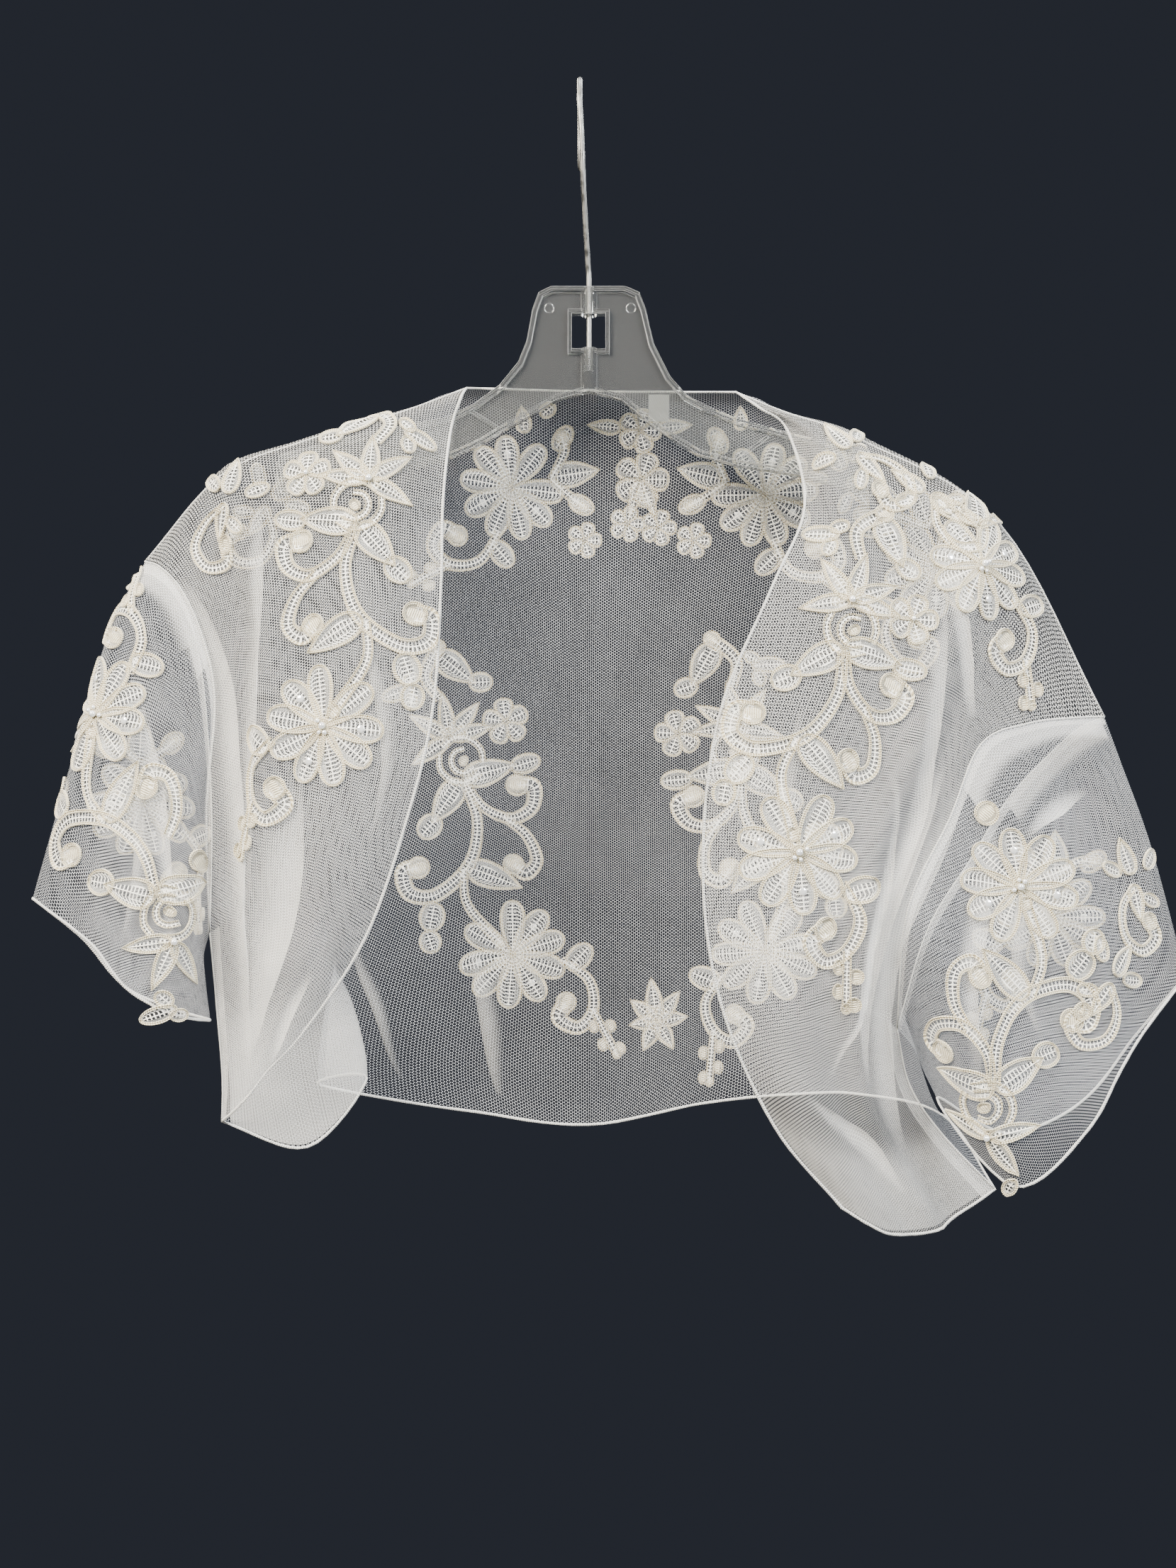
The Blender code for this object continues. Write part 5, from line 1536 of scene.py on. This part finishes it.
    def arc(self, x: float, y: float, radius: float, start: float, end: float, width: float) -> None:
        """A crescent, part of a circle.

        Args:
            x: the circle's middle, across.
            y: the circle's middle, up.
            radius: the circle's radius.
            start: the angle of its start in degrees.
            end: the angle of its end in degrees.
            width: its width at its end.
        """
        turns = np.radians(np.linspace(start, end, self.arc_points))
        points = np.stack([x + radius * np.cos(turns), y + radius * np.sin(turns)], axis=1)
        self.scroll(width * self.arc_root, width, points, rounded_end=False)

    def lily(self, x: float, y: float, length: float, width: float) -> None:
        """A flower of pointed petals on one side, with a bead.

        Args:
            x: its middle, across.
            y: its middle, up.
            length: a petal's length.
            width: a petal's width.
        """
        for turn in LILY_TURNS:
            self.petal(x, y, turn, length, width, True)
        self.beads.append((x, y, self.lily_bead))

    def daisy(self, x: float, y: float, length: float, width: float) -> None:
        """A flower of round petals, with beads at its middle and sequins on three petals.

        Args:
            x: its middle, across.
            y: its middle, up.
            length: a petal's length.
            width: a petal's width, before its fullness.
        """
        for turn in DAISY_TURNS:
            self.petal(x, y, turn, length, width * self.daisy_fullness, False)
        self.oval(x, y, 0, length * self.daisy_middle, length * self.daisy_middle, True)
        self.beads += [(x + right, y + up, radius) for right, up, radius in DAISY_BEADS]
        reach = self.sequin_place * length
        for turn in SEQUIN_TURNS:
            way = math.radians(turn)
            self.sequins.append((x + reach * math.cos(way), y + reach * math.sin(way)))

    def five(self, x: float, y: float, length: float, width: float) -> None:
        """A small flower of five even petals, with a bead.

        Args:
            x: its middle, across.
            y: its middle, up.
            length: a petal's length.
            width: a petal's width.
        """
        for number in range(5):
            self.petal(x, y, 72 * number, length, width, False)
        self.beads.append((x, y, self.five_bead))

    def rose(self, x: float, y: float, length: float) -> None:
        """A flower of three crescents round a satin heart.

        Args:
            x: its middle, across.
            y: its middle, up.
            length: its size.
        """
        for right, up, radius, start, end, width in ROSE_ARCS:
            self.arc(x + right, y + up, length * radius, start, end, width)
        right, up, turn, heart_length, heart_width = ROSE_HEART
        self.oval(x + right, y + up, turn, heart_length, heart_width, True)

    def draw(self, forms: tuple, scrolls: tuple) -> "FlatLace":
        """Draws all motifs of a table, the scrolls first.

        Args:
            forms: rows of form, x, y, turn, length and width.
            scrolls: rows of start width, end width and points.

        Returns:
            The drawing itself.
        """
        for start_width, end_width, points in scrolls:
            line = np.array(points, dtype=float)
            self.scroll(start_width * self.root_fullness, end_width * self.scroll_fullness, line)
        for form, x, y, turn, length, width in forms:
            if form is Form.LILY:
                self.lily(x, y, length, width)
            elif form is Form.DAISY:
                self.daisy(x, y, length, width)
            elif form is Form.FIVE:
                self.five(x, y, length, width)
            elif form is Form.ROSE:
                self.rose(x, y, length)
            elif form is Form.LEAF:
                self.petal(x, y, turn, length, width, True)
            else:
                self.oval(x, y, turn, length, width, form is Form.BERRY)
        return self


@dataclass
class LaceBed:
    """Where a flat drawing lies on its panel: a net of places walked out over the cloth."""

    panel: NetPanel
    faces_back: bool
    mirrored: bool
    step: float = 3.0
    across_reach: int = 24
    down_reach: int = 68
    up_reach: int = 20
    places: Array = field(init=False)

    def lay_out(self, origin: Place, toward: Place) -> None:
        """Walks down the drawing's spine, and then out to both sides from all of it.

        Args:
            origin: x and z of the drawing's origin.
            toward: x and z of a place that its foot points to.
        """
        panel = self.panel
        start = panel.find(*origin, self.faces_back)
        foot = panel.find(*toward, self.faces_back)
        heading = panel.at(foot) - panel.at(start)
        spine = {0: (start, heading)}
        for way, reach in ((1, self.down_reach), (-1, self.up_reach)):
            for number in range(1, reach + 1):
                spine[number * way] = panel.walk(*spine[(number - 1) * way], way * self.step)
        rows = range(-self.up_reach, self.down_reach + 1)
        middle = np.concatenate([spine[row][0] for row in rows])
        headings = np.concatenate([spine[row][1] for row in rows])
        across, down = panel.slopes(middle)
        normal = unit(np.cross(across, down)) * panel.side
        side = np.cross(headings, normal) * (1 if self.mirrored else -1)
        columns = {0: (middle, side)}
        for way in (1, -1):
            for number in range(1, self.across_reach + 1):
                columns[number * way] = panel.walk(*columns[(number - 1) * way], way * self.step)
        reach = range(-self.across_reach, self.across_reach + 1)
        self.places = np.stack([columns[number][0] for number in reach], axis=1)

    def of(self, flat: Array) -> Array:
        """The panel place of each flat point.

        Args:
            flat: points of the flat drawing, across and up.

        Returns:
            Places on the panel, across and down.
        """
        across = flat[:, 0] / self.step + self.across_reach
        down = -flat[:, 1] / self.step + self.up_reach
        column = np.clip(np.floor(across).astype(int), 0, self.places.shape[1] - 2)
        row = np.clip(np.floor(down).astype(int), 0, self.places.shape[0] - 2)
        part_across, part_down = (across - column)[:, None], (down - row)[:, None]
        return between(self.places, row, column, column + 1, part_down, part_across)


@dataclass
class CordedLace:
    """All the lace sewn on the net, with its beads and sequins."""

    lift: float = 0.6
    bead_sides: int = 10
    bead_lift: float = 0.9
    bead_rise: float = 0.7
    sequin_radius: float = 1.9
    # Heights of a sequin's middle and of a place over it, and the part of its depth that is pressed away.
    sequin_heights: Pair = (0.9, 1.9)
    sequin_press: float = 0.8
    shapes: dict[str, FlatLace] = field(default_factory=dict)

    def ball(self, centre: Array, radius: float) -> tuple[Array, Faces]:
        """A bead's points and faces.

        Args:
            centre: its middle.
            radius: its radius.

        Returns:
            Its points and its faces.
        """
        sides = self.bead_sides
        rings = sides // 2
        top = np.array([0.0, 0.0, radius])
        turns = round_turns(sides)
        rows = [centre + top]
        for ring in range(1, rings):
            tilt = math.pi * ring / rings
            high, broad = math.cos(tilt), math.sin(tilt)
            level = np.stack([broad * np.cos(turns), broad * np.sin(turns), np.full(sides, high)], axis=1)
            rows += list(centre + radius * level)
        rows.append(centre - top)
        faces = [(0, 1 + side, 1 + (side + 1) % sides) for side in range(sides)]
        faces += [tuple(index + 1 for index in face[::-1]) for face in quads(rings - 1, sides, True)]
        last = 1 + (rings - 1) * sides
        faces += [(last, last - sides + (side + 1) % sides, last - sides + side) for side in range(sides)]
        return np.array(rows), faces

    def lay_motifs(self, bed: LaceBed, drawing: FlatLace) -> MeshParts:
        """The drawing's motifs that the panel holds, laid on it.

        Args:
            bed: the lace's bed on the panel.
            drawing: the flat lace.

        Returns:
            The motifs as mesh parts.
        """
        parts, panel = MeshParts(), bed.panel
        flip = bed.mirrored != (panel.side < 0)
        for rows, faces, coords, finishes in drawing.motifs:
            places = bed.of(rows[:, :2])
            if panel.holds(places, bed.faces_back).all():
                turned = [face[::-1] for face in faces] if flip else faces
                parts.add(panel.at(panel.eased(places), rows[:, 2] + self.lift), turned, coords, finishes)
        return parts

    def lay_beads(self, bed: LaceBed, drawing: FlatLace) -> MeshParts:
        """The drawing's beads and sequins that the panel holds, laid on it.

        Args:
            bed: the lace's bed on the panel.
            drawing: the flat lace.

        Returns:
            The beads and sequins as mesh parts.
        """
        parts, panel = MeshParts(), bed.panel
        for x, y, radius in drawing.beads:
            spot = bed.of(np.array([[x, y]]))
            if panel.holds(spot, bed.faces_back).all():
                centre = panel.at(spot, self.lift + self.bead_lift + radius * self.bead_rise)[0]
                points, faces = self.ball(centre, radius)
                parts.add(points, faces, points[:, :2])
        for sequin in drawing.sequins:
            spot = bed.of(np.array([sequin]))
            if panel.holds(spot, bed.faces_back).all():
                centre, above = (panel.at(spot, self.lift + height)[0] for height in self.sequin_heights)
                points, faces = self.ball(centre, self.sequin_radius)
                normal = unit(above - centre)
                points = points - np.outer((points - centre) @ normal, normal) * self.sequin_press
                parts.add(points, faces, points[:, :2])
        return parts

    def sew(self, panels: dict[str, NetPanel]) -> dict[str, list[bpy.types.Object]]:
        """Lays every drawing on its panel.

        Args:
            panels: the net panels by name.

        Returns:
            The new pieces of each panel.
        """
        self.shapes = {
            "spray": FlatLace().draw(SPRAY_FORMS, SPRAY_SCROLLS),
            "sprig": FlatLace().draw(SPRIG_FORMS, SPRIG_SCROLLS),
            "posy": FlatLace().draw(POSY_FORMS, ()),
            "garland": FlatLace().draw(GARLAND_FORMS, ()),
            "bloom": FlatLace().draw(BLOOM_FORMS, ()),
            "twig": FlatLace().draw(TWIG_FORMS, TWIG_SCROLLS),
        }
        cord, ladder = CordFinish().material(), LadderFinish().material()
        glass = PlainFinish("clear_bead", (0.9, 0.9, 0.88, 1.0), roughness=0.08, metallic=0.35, ior=1.6,
                            grain=300.0, grain_depth=0.01, coat=0.6).material()
        made: dict[str, list[bpy.types.Object]] = {name: [] for name in panels}
        for place, panel_name, shape, faces_back, x, z, foot_x, foot_z, mirrored in LACE_PLACES:
            bed = LaceBed(panels[panel_name], faces_back, mirrored)
            bed.lay_out((x, z), (foot_x, foot_z))
            lace = self.lay_motifs(bed, self.shapes[shape]).build("corded_lace_" + place, [cord, ladder])
            if "lace_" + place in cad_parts:
                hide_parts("lace_" + place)
            made[panel_name].append(lace)
            LOG.info("lace %s: %d points", place, len(lace.data.vertices))
            beads = self.lay_beads(bed, self.shapes[shape])
            if beads.count:
                bead = beads.build("beads_" + place, [glass])
                made[panel_name].append(bead)
        return made


@dataclass
class ClearHanger:
    """The clear hanger with its wire hook, and the size tape at the neck."""

    bevel: float = 0.45
    bevel_segments: int = 2
    # Degrees between faces from which their edge is softened.
    sharp: float = 35.0
    weld_gap: float = 0.001
    mark_places: tuple[Place, ...] = ((-19.0, -109.0), (21.0, -109.0))
    mark_sides: int = 28
    # A mark's rings. Columns: radius, distance from the plate's middle.
    mark_rings: tuple[Pair, ...] = ((2.5, 0.75), (2.4, 0.95), (2.15, 0.95), (2.0, 0.75))
    wire_sides: int = 14
    wire_cells: int = 6
    # Degrees between places round the hook's bend.
    bend_step: int = 15
    # The wire's first two radii at its filed tip, in its widths.
    tip_radii: Pair = (0.3, 0.46)
    tape_size: Pair = (10.0, 13.5)
    tape_place: Triple = (35.0, 8.2, -156.0)
    tape_tilt: float = 28.0
    tape_bow: float = 0.25
    tape_cells: int = 4
    tape_columns: int = 9

    def soften_plate(self) -> bpy.types.Object:
        """The clear plate: the hanger's own form, with soft rims in a near-white finish that is a painted
        highlight.

        Returns:
            The piece.
        """
        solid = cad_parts["hanger"]
        mesh = solid.data.copy()
        mesh.name = "clear_hanger"
        mesh.materials.clear()
        clear = PlainFinish("clear_plastic", (0.78, 0.79, 0.77, 1.0), roughness=0.04, transmission=0.96,
                            grain=60.0, coat=0.1)
        # The bevelled rims take a near-white, nearly opaque plastic: a painted highlight along the plate's
        # edges.
        rim = PlainFinish("rim_painted_highlight", (0.97, 0.98, 0.98, 1.0), roughness=0.25, transmission=0.12,
                          grain=60.0, grain_depth=0.0)
        mesh.materials.append(clear.material())
        mesh.materials.append(rim.material())
        plate = new_object("clear_hanger", mesh)
        plate.matrix_world = solid.matrix_world
        plate.modifiers.new("joined_faces", "WELD").merge_threshold = self.weld_gap * MM
        soften = plate.modifiers.new("soft_rims", "BEVEL")
        soften.width = self.bevel * MM
        soften.segments = self.bevel_segments
        soften.limit_method = "ANGLE"
        soften.angle_limit = math.radians(self.sharp)
        # The bevels take the painted highlight finish.
        soften.material = 1
        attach(plate, "root")
        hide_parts("hanger")
        return plate

    def mark_plate(self) -> bpy.types.Object:
        """The two round ejector marks on both faces of the neck plate.

        Returns:
            The piece.
        """
        turns = round_turns(self.mark_sides)
        ring = np.stack([np.cos(turns), np.zeros(self.mark_sides), np.sin(turns)], axis=1)
        faces = quads(len(self.mark_rings), self.mark_sides, True)
        parts = MeshParts()
        for x, z in self.mark_places:
            for side in (1, -1):
                points = np.concatenate([np.array([x, side * out, z]) + ring * radius
                                         for radius, out in self.mark_rings])
                parts.add(points, faces, points[:, ::2])
        plastic = PlainFinish("mark_plastic", (0.9, 0.92, 0.94, 1.0), roughness=0.12, transmission=0.93)
        marks = parts.build("ejector_marks", [plastic.material()])
        return marks

    def bend_hook(self) -> bpy.types.Object:
        """The wire hook.

        Returns:
            The piece.
        """
        radius = (SEAT_WIDTH + WIRE) / 2
        turns = np.radians(np.arange(0, 181, self.bend_step))
        heights = -SEAT_WIDTH / 2 + radius * np.sin(turns)
        bend = np.stack([np.zeros(len(turns)), radius * np.cos(turns), heights], axis=1)
        line = fine_curve(np.concatenate([vectors(HOOK_TIP), bend, vectors(HOOK_SHANK)]), self.wire_cells)
        along = unit(np.gradient(line, axis=0))
        beside = unit(np.cross(along, np.array([1.0, 0.0, 0.0])))
        other = np.cross(along, beside)
        sides = self.wire_sides
        turns = round_turns(sides)
        thick = np.full(len(line), WIRE / 2)
        thick[:2] = WIRE * np.array(self.tip_radii)
        rings = line[:, None] + thick[:, None, None] * (
            beside[:, None] * np.cos(turns)[:, None] + other[:, None] * np.sin(turns)[:, None])
        last = len(line) * sides
        faces = quads(len(line), sides, True) + [tuple(range(sides))[::-1], tuple(range(last - sides, last))]
        parts = MeshParts()
        points = rings.reshape(-1, 3)
        parts.add(points, faces, points[:, 1:])
        nickel = PlainFinish("nickel_wire", (0.24, 0.235, 0.22, 1.0), roughness=0.46, metallic=1.0,
                             grain=220.0, grain_depth=0.0)
        hook = parts.build("wire_hook", [nickel.material()], lean=0.0)
        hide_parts("hook")
        return hook

    def fold_tape(self) -> bpy.types.Object:
        """The bare size tape, folded double at its foot.

        Returns:
            The piece.
        """
        width, height = self.tape_size
        top, foot = height / 2, -height / 2
        # The folded tape seen from its side. Columns: out of it, up it.
        section = np.array([
            (-0.35, top), (-0.36, 0.0), (-0.34, foot + 0.8), (-0.2, foot + 0.2), (0.0, foot),
            (0.2, foot + 0.2), (0.34, foot + 0.8), (0.3, 0.0), (0.25, top - 0.6),
        ])
        line = fine_curve(section, self.tape_cells)
        columns = np.linspace(-width / 2, width / 2, self.tape_columns)
        y, z = flat_turned(0.0, 0.0, self.tape_tilt, line).T
        bow = self.tape_bow * np.cos(np.pi * columns / width)
        rows = np.stack(np.broadcast_arrays(columns[None, :], y[:, None] - bow[None, :], z[:, None]), axis=-1)
        points = rows.reshape(-1, 3) + np.array(self.tape_place)
        coords = np.stack(np.broadcast_arrays(columns[None, :], lengths(line)[:, None]), axis=-1)
        parts = MeshParts()
        parts.add(points, quads(len(line), len(columns), False), coords.reshape(-1, 2))
        satin = CordFinish("woven_tape", pitch=0.5, colour=(0.93, 0.93, 0.91, 1.0),
                           painted_shade=(0.85, 0.85, 0.83, 1.0))
        tape = parts.build("size_tape", [satin.material()])
        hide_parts("label")
        return tape


@dataclass
class Studio:
    """Plain pale floor, soft lights, a dark surround and the camera at the photo's angle."""

    eye: Triple = (0.004, -0.75, -0.342)
    lens: float = 35.15
    near: float = 0.01
    aim: Triple = (0.0, 0.0, -0.34)
    floor_height: float = -1.08
    floor_radius: float = 0.6
    floor_sides: int = 64
    surround: Colour = (0.022, 0.025, 0.034, 1.0)
    warm: Triple = (1.0, 0.945, 0.84)
    cool: Triple = (0.92, 0.96, 1.0)
    # Columns: name, place, side of the square, watts, warm.
    lights: tuple[tuple[str, Triple, float, float, bool], ...] = (
        ("key_left", (-1.0, -1.2, 0.7), 0.8, 142.0, True),
        ("fill_right", (1.2, -1.1, 0.45), 0.8, 74.0, False),
        ("top", (0.1, 0.1, 1.15), 0.8, 20.0, False),
        ("back_left", (-1.0, 1.1, 0.95), 0.8, 44.0, True),
        ("back_right", (0.95, 1.15, 0.85), 0.8, 36.0, False),
    )

    def build(self) -> None:
        """Sets up the camera, lights, world and floor."""
        self.stand_camera()
        for name, place, side, watts, warm in self.lights:
            self.hang_light(name, place, side, watts, self.warm if warm else self.cool)
        self.darken()
        self.lay_floor()

    def stand_camera(self) -> None:
        """The camera at the photo's angle."""
        data = bpy.data.cameras.new("camera")
        data.lens = self.lens
        data.clip_start = self.near
        camera = new_object("camera", data)
        camera.location = self.eye
        camera.rotation_euler = (math.radians(90), 0.0, 0.0)
        bpy.context.scene.camera = camera

    def hang_light(self, name: str, place: Triple, side: float, watts: float, colour: Triple) -> None:
        """A square soft light that faces the object.

        Args:
            name: its name.
            place: where it hangs, in metres.
            side: the side of its square in metres.
            watts: its power.
            colour: its colour.
        """
        light = bpy.data.lights.new(name, "AREA")
        light.shape = "SQUARE"
        light.size = side
        light.energy = watts
        light.color = colour
        thing = new_object(name, light)
        thing.location = place
        thing.rotation_euler = (Vector(self.aim) - Vector(place)).to_track_quat("-Z", "Y").to_euler()

    def darken(self) -> None:
        """The dark surround."""
        world = bpy.data.worlds.new("dark_surround")
        world.use_nodes = True
        background = world.node_tree.nodes["Background"]
        background.inputs["Color"].default_value = self.surround
        background.inputs["Strength"].default_value = 1.0
        bpy.context.scene.world = world

    def lay_floor(self) -> None:
        """The plain round floor."""
        turns = round_turns(self.floor_sides)
        edge = np.stack([self.floor_radius * np.cos(turns), self.floor_radius * np.sin(turns)], axis=1)
        mesh = bpy.data.meshes.new("floor")
        mesh.from_pydata([(x, y, self.floor_height) for x, y in edge], [], [tuple(range(self.floor_sides))])
        pale = PlainFinish("pale_floor", (0.34, 0.335, 0.325, 1.0), roughness=0.8, grain=30.0)
        mesh.materials.append(pale.material())
        new_object("floor", mesh)


def main() -> None:
    """Builds every piece in order."""
    logging.basicConfig(level=logging.INFO, format="%(message)s")
    Studio().build()
    net = Net()
    net.cut()
    made = net.dress()
    LOG.info("net pieces: %s", ", ".join(net.panels))
    lace = CordedLace().sew(net.panels)
    hanger = ClearHanger()
    hanger.soften_plate()
    hanger.mark_plate()
    hanger.bend_hook()
    hanger.fold_tape()
    LOG.info("hanger, hook and tape dressed")


if __name__ == "__main__":
    main()
